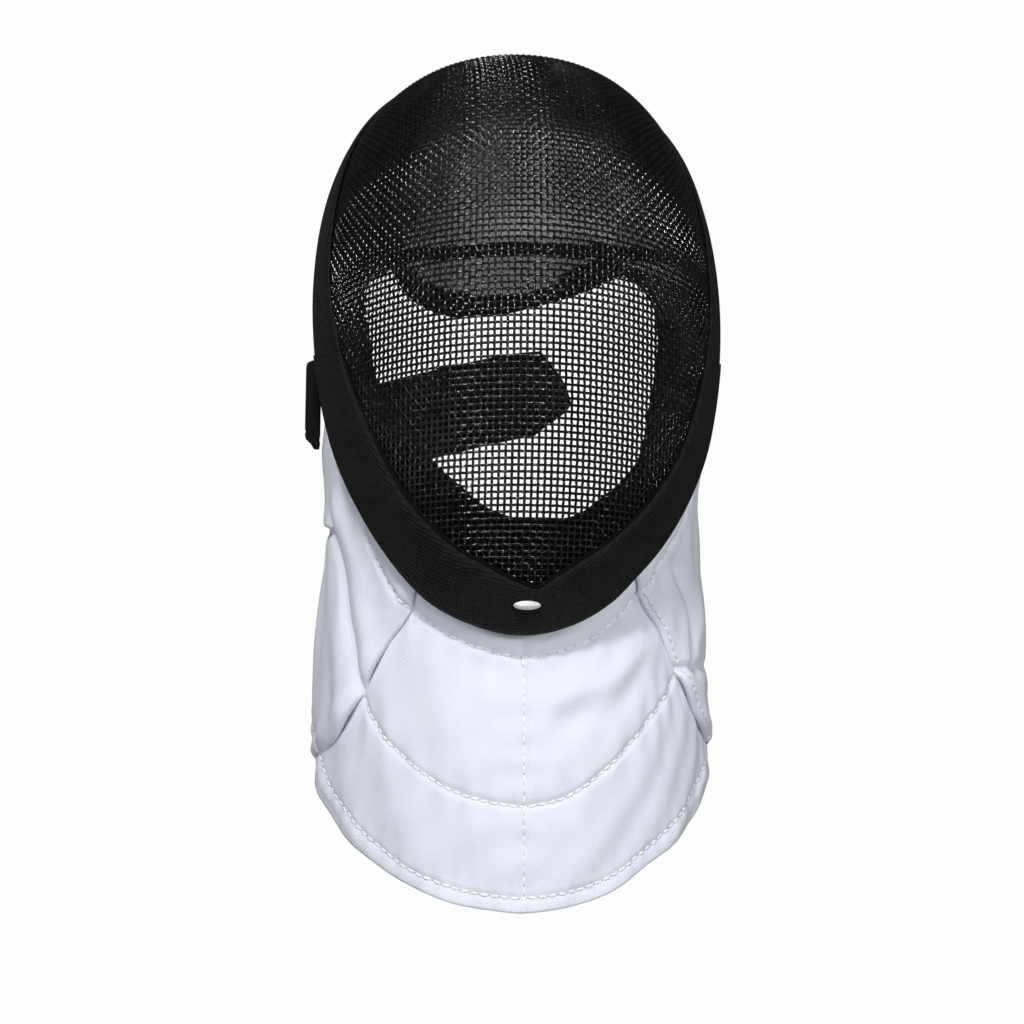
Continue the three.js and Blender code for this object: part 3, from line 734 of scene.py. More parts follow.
# ---------------------------------------------------------------------- trims
def band(name, node, widths, proud, a0, a1, stations, shadow_strip_reach=0.0, drop=None):
    """Folded tape over the wire's edge; where asked, a thin matte black strip just past its inner edge, a painted
    shadow of the gap between tape and wire.
    """
    width = reader(widths)
    ang = np.linspace(a0, a1, stations)
    W = width(ang)
    extra = drop(ang) if drop is not None else np.zeros(stations)
    ang = np.where(ang > 180, ang - 360, ang)
    # section, from the top edge down the outside, round the fold and back up the inside
    outer = [(1.0, 1.25), (1.012, 1.55), (1.006, proud * 0.7), (0.985, proud * 0.87), (0.95, proud * 0.95), (0.9, proud),
             (0.82, proud * 1.02), (0.7, proud), (0.58, proud * 0.98), (0.46, proud), (0.34, proud * 1.02),
             (0.22, proud * 1.01), (0.1, proud * 1.0), (0.0, proud * 0.98)]
    lower = [(-1.6, proud * 0.9), (-2.9, proud * 0.62), (-3.7, 0.9), (-4.0, -0.7), (-3.6, -2.3), (-2.8, -3.4), (-1.4, -4.0),
             (0.4, -4.1), (3.0, -4.1), (6.0, -4.1), (8.6, -4.05), (9.2, -3.6), (9.0, -2.7), (6.0, -2.5), (2.0, -2.5), (-1.2, -2.4),
             (-1.35, 0.2), (-1.2, 1.25), (3.0, 1.25)]
    k = len(outer) + len(lower)
    dist = np.empty((stations, k))
    high = np.empty((stations, k))
    for j, (s, h) in enumerate(outer):
        dist[:, j], high[:, j] = s * W, h
    for j, (s, h) in enumerate(lower):
        dist[:, len(outer) + j], high[:, len(outer) + j] = s, h
    A = np.repeat(ang[:, None], k, 1)
    low = np.arange(k) < len(outer) + 7
    dist = dist - extra[:, None] * np.where(low[None], 1 - smooth(0, 12, dist), 0)
    # soft ripples where the tape goes round the chin
    ripple = np.sin(A * 0.55 + dist * 0.12) * np.sin(A * 0.21 + 1.0) + 0.6 * np.sin(A * 1.3 - dist * 0.3)
    high = high + np.where(np.arange(k)[None] < len(outer) - 1, 0.16, 0) * ripple * smooth(0, 5, W[:, None] - dist) * smooth(40, 120, np.abs(A))
    P = from_rim(A, dist, high)
    L = np.concatenate([[0], np.cumsum(np.linalg.norm(np.diff(P[:, 8], axis=0), axis=1))])
    sec = np.concatenate([[0], np.cumsum(np.linalg.norm(np.diff(P[stations // 2], axis=0), axis=1))])
    uv = np.stack([np.repeat(L[:, None], k, 1), np.repeat(sec[None], stations, 0)], -1) / 1000
    Q = grid_quads(stations, k, closed=True)
    caps = []
    for s in (0, stations - 1):
        h = k // 2
        for j in range(h - 1):
            a, b = s * k + j, s * k + j + 1
            c, d = s * k + (k - 2 - j), s * k + (k - 1 - j)
            caps.append([a, b, c, d] if s else [d, c, b, a])
    parts = [(P, facing_out(P, Q, True), uv)]
    M = [0] * len(Q)
    # thin black strip past the tape's inner edge: painted shadow where the tape stands off the wire
    if shadow_strip_reach:
        g = [(-0.15, 1.22), (0.0, 1.5), (shadow_strip_reach, 1.3), (shadow_strip_reach, 1.12), (-0.15, 1.12)]
        gd = np.stack([W + d for d, _ in g], 1)
        gh = np.repeat(np.array([[h for _, h in g]]), stations, 0)
        GP = from_rim(np.repeat(ang[:, None], len(g), 1), gd, gh)
        gq = facing_out(GP, grid_quads(stations, len(g), closed=True), True)
        parts.append((GP, gq, np.zeros((stations * len(g), 2))))
        M += [1] * len(gq)
    P, Q, U = joined(parts)
    ob = make(name, P, Q, U, [TAPE, SHADOW_STRIP], M)
    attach(ob, "root")
    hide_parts(node)
    return ob


JAW_WIDTH = [(71, 26.5), (90, 26), (118, 25), (155, 25.5), (163.3, 24), (169.6, 22), (176.3, 18.8),
             (182.4, 21.4), (190.2, 23.7), (198.7, 25.4), (211, 25.6), (229, 26.5),
             (239, 27.5), (248, 29.5), (257, 32), (265, 33.5), (275, 34.5), (289.5, 34)]
JAW_DROP = reader([(71, 0), (95, -0.6), (112, -1.4), (130, -1.4), (142, -1.6), (152, 0), (165, 1.5), (180, 1.9), (195, 2.6),
                   (208, 3.4), (218, 2.6), (230, 1.4), (245, 0.4), (289.5, 0)])
CROWN_WIDTH = [(-71, 33), (-61, 32), (-53, 28), (-46, 28), (-38, 27), (-25, 20), (0, 13), (25, 20), (38, 26), (48, 26),
               (55, 24.5), (71, 25)]
band("crown_binding", "rim_binding", CROWN_WIDTH, 3.1, -70.9, 70.9, 260)
# the jaw tape gets a thin black strip past its inner edge, a painted shadow
band("jaw_tape", "jaw_trim", JAW_WIDTH, 3.8, 70.4, 289.6, 420, shadow_strip_reach=1.9, drop=JAW_DROP)

# ---------------------------------------------------------------------- bib
BIB_LEVEL = [(40, 96.5, -128), (-5, 95.5, -137), (-43, 92.5, -134), (-66, 92.5, -131), (-84, 94.5, -129),
             (-110, 97, -134.5), (-143, 100, -144), (-180, 101, -152), (-216, 100.5, -157)]
WIDEST_Y, TUCK, INSET, LIP = -50.0, 7.0, 4.9, 0.1
EAR, CORNER_Y = 74.0, -12.0
HEM = [(0, -215.5), (0.17, -213), (0.4, -203.5), (0.62, -189), (0.78, -173), (1, -154), (1.4, -128)]
WING_EDGE = [(0, 0.3), (0.2, 0.315), (0.37, 0.38), (0.56, 0.43), (0.77, 0.49), (0.89, 0.55), (1, 0.62)]
WING_SHIFT = 0.05
# quilting lines: how far down, by how far round
TOP_LINE = reader([(-1, 0.2), (-0.64, 0.165), (-0.51, 0.195), (-0.4, 0.215), (-0.31, 0.21), (-0.21, 0.2), (-0.05, 0.185),
                   (0.09, 0.19), (0.2, 0.2), (0.36, 0.2), (0.44, 0.185), (0.73, 0.21), (1, 0.21)])
MID_LINE = reader([(-0.7, 0.45), (-0.43, 0.59), (-0.36, 0.62), (-0.28, 0.64), (-0.15, 0.66), (0, 0.665), (0.07, 0.66),
                   (0.16, 0.63), (0.32, 0.58), (0.5, 0.55), (0.7, 0.45)])
HEM_LINE = reader([(-1, 0.945), (-0.5, 0.925), (-0.2, 0.955), (0.2, 0.955), (0.5, 0.925), (1, 0.945)])
VALLEY = reader([(0.36, 0.63), (0.45, 0.55), (0.52, 0.49), (0.62, 0.42), (0.77, 0.36), (1, 0.3)])
FLAP = reader([(0.6, 0.33), (0.77, 0.37), (0.89, 0.46), (1, 0.52)])
bib_half, bib_front = reader([(r[0], r[1]) for r in BIB_LEVEL]), reader([(r[0], r[2]) for r in BIB_LEVEL])
hem_height, wing_edge = reader(HEM), reader(WING_EDGE)


def throat(station, z):
    w, f = bib_half(z), WIDEST_Y - bib_front(z)
    s = np.clip(station, 0, 1)
    x = np.where(station <= 1, w * np.sin(s * math.pi / 2), w - 6 * (station - 1) ** 2)
    y = np.where(station <= 1, WIDEST_Y - f * np.cos(s * math.pi / 2), WIDEST_Y + (station - 1) * 95)
    return np.stack([x, y, z], -1)


def station_of(p):
    w, f = bib_half(p[..., 2]), WIDEST_Y - bib_front(p[..., 2])
    return np.arctan2(np.abs(p[..., 0]) / w, (WIDEST_Y - p[..., 1]) / f) / (math.pi / 2)


def bib_base(rnd, down):
    a, sign = np.abs(rnd), np.where(np.asarray(rnd) < 0, -1.0, 1.0)
    shape = np.broadcast(a, down).shape
    a = np.broadcast_to(a, shape)
    down = np.broadcast_to(down, shape)
    angle = mix(180.0, EAR, a ** 0.92)
    angle = np.round(angle, 3)
    top = from_rim(angle, np.full(shape, TUCK), np.full(shape, -INSET))
    lip = from_rim(angle, np.full(shape, -6.5), np.full(shape, -INSET))
    t = np.clip((down - LIP) / (1 - LIP), 0, 1)
    st = station_of(lip)
    end = mix(0.0, 1 + (CORNER_Y - WIDEST_Y) / 95, a ** 0.96)
    # the hem is cut a little higher on one side
    hem = hem_height(end) + np.where(np.asarray(rnd) > 0, 5.5, 1.0) * np.exp(-((end - 0.5) / 0.24) ** 2)
    p = throat(mix(st, end, t), mix(lip[..., 2], hem, t))
    p = p + (lip - throat(st, lip[..., 2])) * (np.exp(-t * 5) * (1 - t))[..., None]
    q = mix(top, lip, np.clip(down / LIP, 0, 1)[..., None])
    p = np.where((down < LIP)[..., None], q, p)
    p[..., 0] = sign * np.abs(p[..., 0])
    return p


def dip(d, depth, width):
    return -depth * np.exp(-(d / width) ** 2)


def pucker(d, along, amp, reach, period, phase=0.0):
    return amp * np.exp(-np.abs(d) / reach) * np.sin(2 * math.pi * along / period + 1.4 * np.sin(along / 16.0 + phase) + phase)


def swell(a, b, phase=0.0):
    """Slow uneven drape, in mm."""
    return (0.55 * np.sin(a / 11.5 + 0.7 * np.sin(b / 19.0) + phase) * np.sin(b / 15.0 + 0.4 * phase)
            + 0.45 * np.sin(a / 7.1 - b / 12.3 + 2 * phase) + 0.35 * np.sin((a + 1.3 * b) / 5.6 + phase))


def past_line(down, rnd, line, s):
    """Distance down the cloth past a line given by how far down it lies."""
    f = down - line(rnd)
    out = np.empty_like(s)
    for i in range(len(s)):
        out[i] = s[i] - np.interp(0.0, f[i], s[i])
    return out


def follow(values, grid, normals, level=0.0, axis=1):
    """Points and normals where a value crosses a level, one for each row of the grid."""
    if axis == 0:
        values, grid, normals = values.T, np.swapaxes(grid, 0, 1), np.swapaxes(normals, 0, 1)
    P, N = [], []
    for f, g, n in zip(values - level, grid, normals):
        order = f if f[-1] > f[0] else -f
        if order[0] > 0 or order[-1] < 0:
            continue
        P.append([np.interp(0.0, order, g[:, k]) for k in range(3)])
        N.append([np.interp(0.0, order, n[:, k]) for k in range(3)])
    return np.array(P), unit(np.array(N))


def stitches(name, node, lines, pitch=4.5, length=3.5, radius=0.62, mats=None):
    """Rows of puffed stitches with a flat blue-grey disc between each pair, painted shade of the needle hole."""
    parts, M = [], []
    for P, N in lines:
        if len(P) < 4:
            continue
        L = np.concatenate([[0], np.cumsum(np.linalg.norm(np.diff(P, axis=0), axis=1))])
        count = int(L[-1] / pitch)
        at = (np.arange(count) + 0.5) * pitch
        read = lambda q, A: np.stack([np.interp(q, L, A[:, k]) for k in range(3)], -1)
        jitter = RNG.normal(0, 0.16, (count, 2))
        for i in range(count):
            c, n = read(np.array([at[i] + jitter[i, 0]]), P)[0], read(np.array([at[i]]), N)[0]
            t = read(np.array([min(at[i] + 1.5, L[-1])]), P)[0] - read(np.array([max(at[i] - 1.5, 0)]), P)[0]
            n = n / np.linalg.norm(n)
            t = unit(t - n * (t @ n))
            b = np.cross(n, t)
            t = unit(t + b * jitter[i, 1] * 0.6)
            b = np.cross(n, t)
            half = length * (0.5 + 0.06 * jitter[i, 1])
            xs, rs = np.array([-1, -0.82, -0.4, 0.4, 0.82, 1]) * half, np.array([0.1, 0.7, 1, 1, 0.7, 0.1]) * radius
            th = np.arange(8) * math.pi / 4
            ring = (c + n * 0.18)[None, None] + t * xs[:, None, None] + rs[:, None, None] * (
                np.cos(th)[None, :, None] * b + 0.85 * np.sin(th)[None, :, None] * n)
            uv = np.stack(np.meshgrid(xs, th * radius, indexing="ij"), -1) / 1000
            q = facing_out(ring, grid_quads(6, 8, closed=True), True)
            parts.append((ring, q, uv))
            M += [0] * len(q)
            if i:
                # a flat disc just above the cloth: painted shade of the needle hole
                h, hn = read(np.array([at[i] - pitch / 2]), P)[0], n
                th = np.arange(6) * math.pi / 3
                disc = h + hn * 0.07 + 0.42 * (np.cos(th)[:, None] * t * 1.1 + np.sin(th)[:, None] * b * 0.8)
                parts.append((disc, np.array([[0, 1, 2, 3], [0, 3, 4, 5]]), np.zeros((6, 2))))
                M += [1, 1]
    P, Q, U = joined(parts)
    ob = make(name, P, Q, U, mats or [THREAD, HOLE_SHADE], M)
    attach(ob, "root")
    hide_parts(node)
    return ob


def bib_piece(name, node, rnd, down, lift, thick, shape):
    base = bib_base(rnd, down)
    n = grid_normals(base, np.stack([base[..., 0], base[..., 1] + 60, 0 * base[..., 2]], -1))
    s = np.concatenate([np.zeros((len(base), 1)), np.cumsum(np.linalg.norm(np.diff(base, axis=1), axis=2), axis=1)], axis=1)
    a = np.linalg.norm(np.diff(base, axis=0), axis=2)
    w = np.concatenate([np.zeros((1, base.shape[1])), np.cumsum(a, axis=0)], axis=0)
    bump = shape(rnd, down, s, w)
    outer = base + n * (lift + bump)[..., None]
    inner = base + n * (lift + bump * 0.7 - thick)[..., None]
    # the cut edges are closed by a wall between the outer and inner faces
    P, Q, U = wall(outer, inner, arc_uv(outer))
    ob = make(name, P, Q, U, [BIB])
    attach(ob, "root")
    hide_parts(node)
    n2 = grid_normals(outer, n)
    return outer, n2, s, w


def bib():
    v = np.linspace(0, 1, 150)
    u = np.linspace(-1, 1, 264)
    edge = wing_edge(v)
    right = edge + WING_SHIFT
    rnd = np.where(u[:, None] < 0, u[:, None] * (edge + 0.075)[None], u[:, None] * (right + 0.075)[None])
    down = np.repeat(v[None], len(u), 0)
    open_part = 1 - np.maximum(smooth(-0.015, 0.012, -rnd - edge[None]), smooth(-0.015, 0.012, rnd - right[None]))

    clear = 1 - np.maximum(smooth(-0.11, 0.004, -rnd - edge[None]), smooth(-0.11, 0.004, rnd - right[None]))

    def apron_shape(rnd, down, s, w):
        wc = w - w[len(w) // 2][None]
        d1, d2, d3 = (past_line(down, rnd, t, s) for t in (TOP_LINE, MID_LINE, HEM_LINE))
        out = dip(d1, 1.5, 1.6) + dip(d2, 1.15, 1.6) + dip(d3, 0.8, 1.3) + dip(wc, 0.95, 1.5)
        out += -dip(d1 + 6.5, 1.5, 4.5) - dip(d3 - 5.0, 0.6, 2.6)
        out += pucker(d1, wc, 0.75, 9, 13.0) * (d1 > -1) + pucker(d2, wc, 0.5, 10, 14.5, 0.8) + pucker(wc, s, 0.42, 9, 15.0, 2.0)
        out += pucker(d3, wc, 0.28, 6, 10.0, 1.4)
        panel = (1 - np.exp(-np.abs(d1) / 12)) * (1 - np.exp(-np.abs(d2) / 12)) * (1 - np.exp(-np.abs(wc) / 10))
        out += panel * (1.3 + 1.25 * swell(wc, s))
        # hollows under the trim and one long soft ridge on the right
        for cw, cd, depth, rw, rd in ((-19, 9, 1.7, 17, 7), (16, 8, 2.0, 24, 6.5), (-52, 20, 1.0, 12, 16), (30, 52, -0.9, 26, 10)):
            out -= depth * np.exp(-((wc - cw) / rw) ** 2 - ((d1 - cd) / rd) ** 2)
        ridge = d1 - (22 - 0.02 * wc)
        span = smooth(6, 22, wc) * (1 - smooth(60, 85, wc))
        out += span * (1.5 * np.exp(-(ridge / 5.5) ** 2) - 1.2 * np.exp(-((ridge - 11) / 6.5) ** 2))
        hid = smooth(0.1, 0.15, down)
        return out * open_part * hid

    outer, n, s, w = bib_piece("bib_apron", "bib_front", rnd, down, -3.1 + 1.7 * clear * smooth(0.12, 0.3, down), 2.6,
                               apron_shape)
    wc = w - w[len(w) // 2][None]
    seen = np.where(rnd < 0, rnd > -edge[None] + 0.002, rnd < right[None] - 0.002)
    lines = []
    for t in (TOP_LINE, MID_LINE, HEM_LINE):
        f = past_line(down, rnd, t, s)
        P, N = follow(f, outer, n)
        keep = np.array([np.interp(0.0, f[i], seen[i].astype(float)) > 0.5 for i in range(len(f))])
        lines.append((P[keep[:len(P)]], N[keep[:len(P)]]))
    below = slice(int(0.19 * 149), 148)
    lines.append(follow(wc[:, below], outer[:, below], n[:, below], 0.0, 0))
    stitches("apron_stitches", "bib_front", lines)

    for side, tag in ((-1, "left"), (1, "right")):
        start = edge if side < 0 else right
        k = np.linspace(0, 1, 160)
        rnd = side * (start[None] + k[:, None] * (1 - start[None]))
        down = np.repeat(v[None], len(k), 0)

        def wing_shape(rnd, down, s, w, side=side):
            a = np.abs(rnd)
            d1, d3 = past_line(down, rnd, TOP_LINE, s), past_line(down, rnd, HEM_LINE, s)
            out = dip(d1, 1.4, 1.6) + dip(d3, 0.8, 1.3) - dip(d1 + 6.5, 1.1, 4.5) - dip(d3 - 5, 0.5, 2.6)
            out += pucker(d1, w, 0.6, 8, 12.0, side) * (d1 > -1) + pucker(d3, w, 0.25, 6, 10.0)
            out += 0.9 * (1 - np.exp(-np.abs(d1) / 12)) * swell(w, s, 1.7 * side)
            # rolled front edge
            out += 1.5 * np.exp(-((w - 7) / 5.5) ** 2) - 0.7 * np.exp(-(w / 2.0) ** 2)
            reach = smooth(0.2, 0.3, down)
            if side < 0:
                dv = s - np.array([np.interp(0.0, (down[i] - VALLEY(a[i])), s[i]) for i in range(len(s))])[:, None]
                lobe = 1 - smooth(0.72, 0.86, a)
                out += lobe * reach * (dip(dv, 3.6, 3.6) + 2.4 * np.exp(-((dv + 14) / 9) ** 2) + 2.2 * np.exp(-((dv - 15) / 10) ** 2))
                df = s - np.array([np.interp(0.0, (down[i] - FLAP(a[i])), s[i]) for i in range(len(s))])[:, None]
                out += smooth(0.7, 0.78, a) * (2.6 * (1 - smooth(-1.6, 0.9, df)) * smooth(-60, -10, df) - 1.5 * np.exp(-((df - 3) / 3.0) ** 2))
            else:
                fold = (a - 0.575) * 150 - 5 * np.sin((down - 0.3) * 9)
                on = smooth(0.22, 0.3, down) * (1 - smooth(0.56, 0.64, down))
                out += on * (dip(fold, 2.6, 3.4) + 1.8 * np.exp(-((fold - 11) / 7) ** 2) + 1.4 * np.exp(-((fold + 10) / 6) ** 2))
                dv = s - np.array([np.interp(0.0, (down[i] - (0.56 + 0.9 * (a[i] - 0.5))), s[i]) for i in range(len(s))])[:, None]
                out += (1 - smooth(0.62, 0.78, a)) * reach * (dip(dv, 2.4, 3.2) + 1.6 * np.exp(-((dv - 11) / 8) ** 2))
            if side < 0:
                out += 2.6 * np.exp(-((a - 0.82) / 0.13) ** 2 - ((down - 0.68) / 0.13) ** 2) - 2.0 * smooth(0.82, 0.96, down)
            else:
                out += 3.0 * np.exp(-((down - 0.6) / 0.2) ** 2) * smooth(0.6, 0.8, a)
            return out * smooth(0.1, 0.16, down)

        outer, n, s, w = bib_piece("wing_cloth_" + tag, "bib_wing_" + tag, rnd, down, np.zeros(rnd.shape), 2.6,
                                   wing_shape)
        lines = [follow(past_line(down, rnd, TOP_LINE, s), outer, n), follow(past_line(down, rnd, HEM_LINE, s), outer, n)]
        if side > 0:
            part = slice(int(0.2 * 149), int(0.93 * 149))
            lines.append(follow(w[:, part], outer[:, part], n[:, part], 2.6, 0))
        stitches("wing_stitches_" + tag, "bib_wing_" + tag, lines)


bib()

# ---------------------------------------------------------------------- padding
WINDOW = reader([(-180, 41.5), (-160.6, 40.9), (-135.6, 40.6), (-110, 47), (-89.8, 61.8), (-72.5, 79.6), (-62.8, 89.7),
                 (-54, 103.4), (-50.3, 106.3), (-44, 101.5), (-38, 104.5), (-20, 91), (0, 86), (23.8, 93.5), (24.4, 76.5),
                 (39.5, 86.9), (47, 87.2), (56.2, 81.7), (69.9, 69.2), (85.5, 60.3), (102, 57), (114, 52.7), (131, 47),
                 (149.5, 45.3), (168.8, 42.3), (180, 41.5)])


def tidy(ob, node):
    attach(ob, "root")
    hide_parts(node)
    return ob


def pad_piece(name, node, a0, a1, count, mat, near=4.6, thick=9.0, sides=64):
    """A soft rounded pad lying inside the wire, from the window's edge out towards the rim."""
    ang = np.linspace(a0, a1, count)
    ang = np.where(ang > 180, ang - 360, ang)
    A = np.repeat(ang[:, None], sides, 1)
    D, H = np.empty(A.shape), np.empty(A.shape)
    th = np.linspace(0, 2 * math.pi, sides, endpoint=False) + math.pi / sides
    c, sn = np.cos(th), np.sin(th)
    for i, a in enumerate(ang):
        total = rim_distance(a, float(WINDOW(a)))
        half, mid, r = (total - 12.0) / 2, (total + 12.0) / 2, thick / 2
        end = min(1.0, 0.86 + 0.05 * min(i, count - 1 - i))
        x = np.sign(c) * np.abs(c) ** 0.28
        y = np.sign(sn) * np.abs(sn) ** 0.55
        H[i] = -(near + r) + r * y * end
        D[i] = mid + (half - 0.4) * x - (3.0 + 6.0 * abs(math.sin(math.radians(a)))) * np.clip((-H[i] - near) / thick, 0, 1) * smooth(0, 1, x)
        H[i] -= 0.45 * np.sin(a * 0.31 + x * 2.2) * (sn > 0) * end * (1 - np.abs(x) ** 6)
    P = from_rim(A, D, H)
    L = np.concatenate([[0], np.cumsum(np.linalg.norm(np.diff(P[:, 0], axis=0), axis=1))])
    uv = np.stack([np.repeat(L[:, None], sides, 1), D], -1) / 1000
    Q = [grid_quads(count, sides, closed=True)]
    for s in (0, count - 1):
        caps = []
        for j in range(sides // 2 - 1):
            a, b, cc, d = s * sides + j, s * sides + j + 1, s * sides + sides - 2 - j, s * sides + sides - 1 - j
            caps.append([a, b, cc, d] if s else [d, cc, b, a])
        Q.append(np.array(caps))
    Q = facing_out(P, np.vstack(Q), True)
    ob = tidy(make(name, P, Q, uv, [mat]), node)
    return ob


pad_piece("crown_pad", "pad_crown", -38.25, 24.1, 110, CROWNCLOTH)
# the right side pad shares the crown cloth, with its painted shade fade to black
pad_piece("side_pad_right", "pad_side_right", 24.15, 128.25, 150, CROWNCLOTH)
pad_piece("chin_pad", "pad_chin", 128.2, 231.8, 120, PADCLOTH)
pad_piece("side_pad_left", "pad_side_left", -128.25, -38.2, 130, PADCLOTH)

# brow band
BROW_LEVEL = reader([(-38, 79), (-10, 80), (22, 81), (36, 82.2), (47, 86.5)])


def brow():
    ang = np.linspace(-38, 44, 160)
    th = np.linspace(0, 2 * math.pi, 16, endpoint=False)
    x, y = 3.25 * np.sign(np.cos(th)) * np.abs(np.cos(th)) ** 0.5, 0.62 * np.sin(th)
    P = np.empty((len(ang), 16, 3))
    for i, a in enumerate(ang):
        lev = float(BROW_LEVEL(a)) + x + 0.35 * math.sin(a * 0.7)
        d = np.array([rim_distance(a, float(r)) for r in lev / math.cos(math.radians(a))])
        P[i] = from_rim(np.full(16, a), d, -2.9 + y)
    L = np.concatenate([[0], np.cumsum(np.linalg.norm(np.diff(P[:, 0], axis=0), axis=1))])
    uv = np.stack([np.repeat(L[:, None], 16, 1), np.repeat(x[None], len(ang), 0)], -1) / 1000
    Q = grid_quads(len(ang), 16, closed=True)
    tidy(make("brow_tape", P, facing_out(P, Q, True), uv, [WEB]), "brow_band")


brow()

# ---------------------------------------------------------------------- spring tongue
TONGUE_EDGE = reader([(-62, 91), (-56, 80.5), (-46, 72.5), (-29, 67.5), (-8, 69), (18, 75), (40, 82), (60, 91)])


def tongue_at(u, v, depth):
    low = mix(-62.0, 60.0, u)
    op = np.minimum(1, v / 0.5)
    x = mix(0.6 * low + 3.0, low, op * op * (3 - 2 * op))
    y = mix(26.0, 27.0, v) + 15.0 * np.sin(v * math.pi) - 0.0016 * x * x + depth
    z = mix(187.0, TONGUE_EDGE(low), v) - 0.0046 * x * x * (1 - v) ** 2
    return np.stack(np.broadcast_arrays(x, y, z), -1)


def tongue():
    u, v = np.linspace(0, 1, 92)[:, None], np.linspace(0, 1, 92)[None]
    rim = np.minimum(np.minimum(u, 1 - u) * 118, np.minimum(v, 1 - v) * 105) + 0 * u
    round_off = 3.2 * (1 - np.sqrt(1 - (1 - np.clip(rim / 4.0, 0, 1)) ** 2))
    soft = 0.5 * np.sin(u * 17 + 2 * np.sin(v * 9)) * np.sin(v * 14) * smooth(0, 12, rim)
    front = tongue_at(u + 0 * v, v + 0 * u, 0) + np.array([0, 1.0, 0]) * (round_off - soft)[..., None]
    back = tongue_at(u + 0 * v, v + 0 * u, 7.0) - np.array([0, 1.0, 0]) * (round_off - soft)[..., None]
    P, Q, U = wall(front, back, arc_uv(front))
    ob = tidy(make("tongue_pad", P, Q, U, [TONGUECLOTH]), "spring_tongue")
    path = [tongue_at(np.array(0.0), np.array(t), 3.5) for t in np.linspace(0.42, 0.97, 8)]
    path += [tongue_at(np.array(t), np.array(1.0), 3.5) for t in np.linspace(0.02, 0.98, 14)]
    path += [tongue_at(np.array(1.0), np.array(t), 3.5) for t in np.linspace(0.97, 0.42, 8)]
    line = curve_points(path, 220)
    T = unit(np.gradient(line, axis=0))
    N = unit(np.cross(T, np.array([0, 1.0, 0])))
    B = np.cross(T, N)
    th = np.arange(14) * 2 * math.pi / 14
    r = np.full(len(line), 3.4)
    r[:4], r[-4:] = [0.3, 1.9, 2.8, 3.2], [3.2, 2.8, 1.9, 0.3]
    ring = line[:, None] + r[:, None, None] * (np.cos(th)[None, :, None] * N[:, None] + np.sin(th)[None, :, None] * B[:, None])
    L = np.concatenate([[0], np.cumsum(np.linalg.norm(np.diff(line, axis=0), axis=1))])
    uv = np.stack([np.repeat(L[:, None], 14, 1), np.repeat(th[None] * 3.4, len(line), 0)], -1) / 1000
    tidy(make("tongue_piping", ring, facing_out(ring, grid_quads(len(line), 14, closed=True), True), uv, [PIPING]),
         "spring_tongue")


tongue()

# ---------------------------------------------------------------------- strap and its loop
STRAP_PATH = [(-84.5, -74, -7), (-80, -44, -3), (-59, -13, 4), (-28, 1, 12.5), (4, 4, 20), (33, 3, 23)]
STRAP_END = reader([(-1, 0.87), (-0.26, 1), (0.2, 0.985), (1, 0.915)])


def strap():
    line = curve_points(STRAP_PATH, 400)
    T = unit(np.gradient(line, axis=0))
    out = unit(np.stack([-T[:, 1], T[:, 0], 0 * T[:, 0]], -1))
    up = unit(np.cross(out, T))
    up *= np.sign(up[:, 2:3])
    k, h = np.linspace(0, 1, 150)[:, None], np.linspace(-1, 1, 44)[None]
    at = k * STRAP_END(h) * (len(line) - 1)
    read = lambda A: np.stack([np.interp(at, np.arange(len(line)), A[:, j]) for j in range(3)], -1)
    wave = 0.6 * np.sin(k * 9 + h) + 0.4 * np.sin(k * 17 - 2 * h)
    mid = read(line) + read(up) * (h * 23)[..., None] + read(out) * wave[..., None]
    edge = 0.95 * (1 - 0.35 * np.abs(h) ** 12)
    uv = np.stack(np.broadcast_arrays(k * 0.165, h * 0.023), -1)
    P, Q, U = wall(mid + read(out) * edge[..., None], mid - read(out) * edge[..., None], uv)
    tidy(make("strap_webbing", P, Q, U, [WEB]), "back_strap")


def strap_loop():
    """The strap folded back on itself round the rim and sewn down."""
    x0, x1, y0, y1 = -105.0, -98.7, -66.0, -34.0
    r = (x1 - x0) / 2 - 1.1
    cx = (x0 + x1) / 2
    a = np.linspace(0, math.pi, 26)
    line = np.vstack([np.stack([np.full(20, cx + r), np.linspace(y1, y0 + 1.1 + r, 20, endpoint=False)], -1),
                      np.stack([cx + r * np.cos(a), y0 + 1.1 + r - r * np.sin(a)], -1),
                      np.stack([np.full(20, cx - r), np.linspace(y0 + 1.1 + r, y1, 21)[1:]], -1)])
    T = unit(np.gradient(line, axis=0))
    out = np.stack([T[:, 1], -T[:, 0]], -1)
    out *= np.sign((out * (line - np.array([cx, y1])))[..., 0:1] + (out * (line - np.array([cx, y1])))[..., 1:2])
    h = np.linspace(0, 1, 40)[None]
    slant = (line[:, 0] - (cx - r)) / (2 * r)
    low = (-6.0 - 5.0 * slant)[:, None]
    top = (33.2 - 1.6 * (1 - slant) ** 2)[:, None]
    z = mix(low, top, h)
    pull = 1.6 * (np.exp(-((1 - h) / 0.035) ** 2) + np.exp(-(h / 0.035) ** 2))
    seam = 0.5 * np.exp(-((z + 2.4 + 3.5 * slant[:, None]) / 0.8) ** 2)
    grids = []
    for t in (1.1, -1.1):
        off = np.where(t > 0, t - seam, t) - np.sign(t) * 0.3 * pull
        xy = line[:, None] + out[:, None] * off[..., None]
        grids.append(np.concatenate([xy, z[..., None]], -1))
    L = np.concatenate([[0], np.cumsum(np.linalg.norm(np.diff(line, axis=0), axis=1))])
    uv = np.stack(np.broadcast_arrays(L[:, None], z), -1) / 1000
    P, Q, U = wall(grids[0], grids[1], uv)
    tidy(make("loop_webbing", P, Q, U, [WEB]), "strap_loop")


strap()
strap_loop()


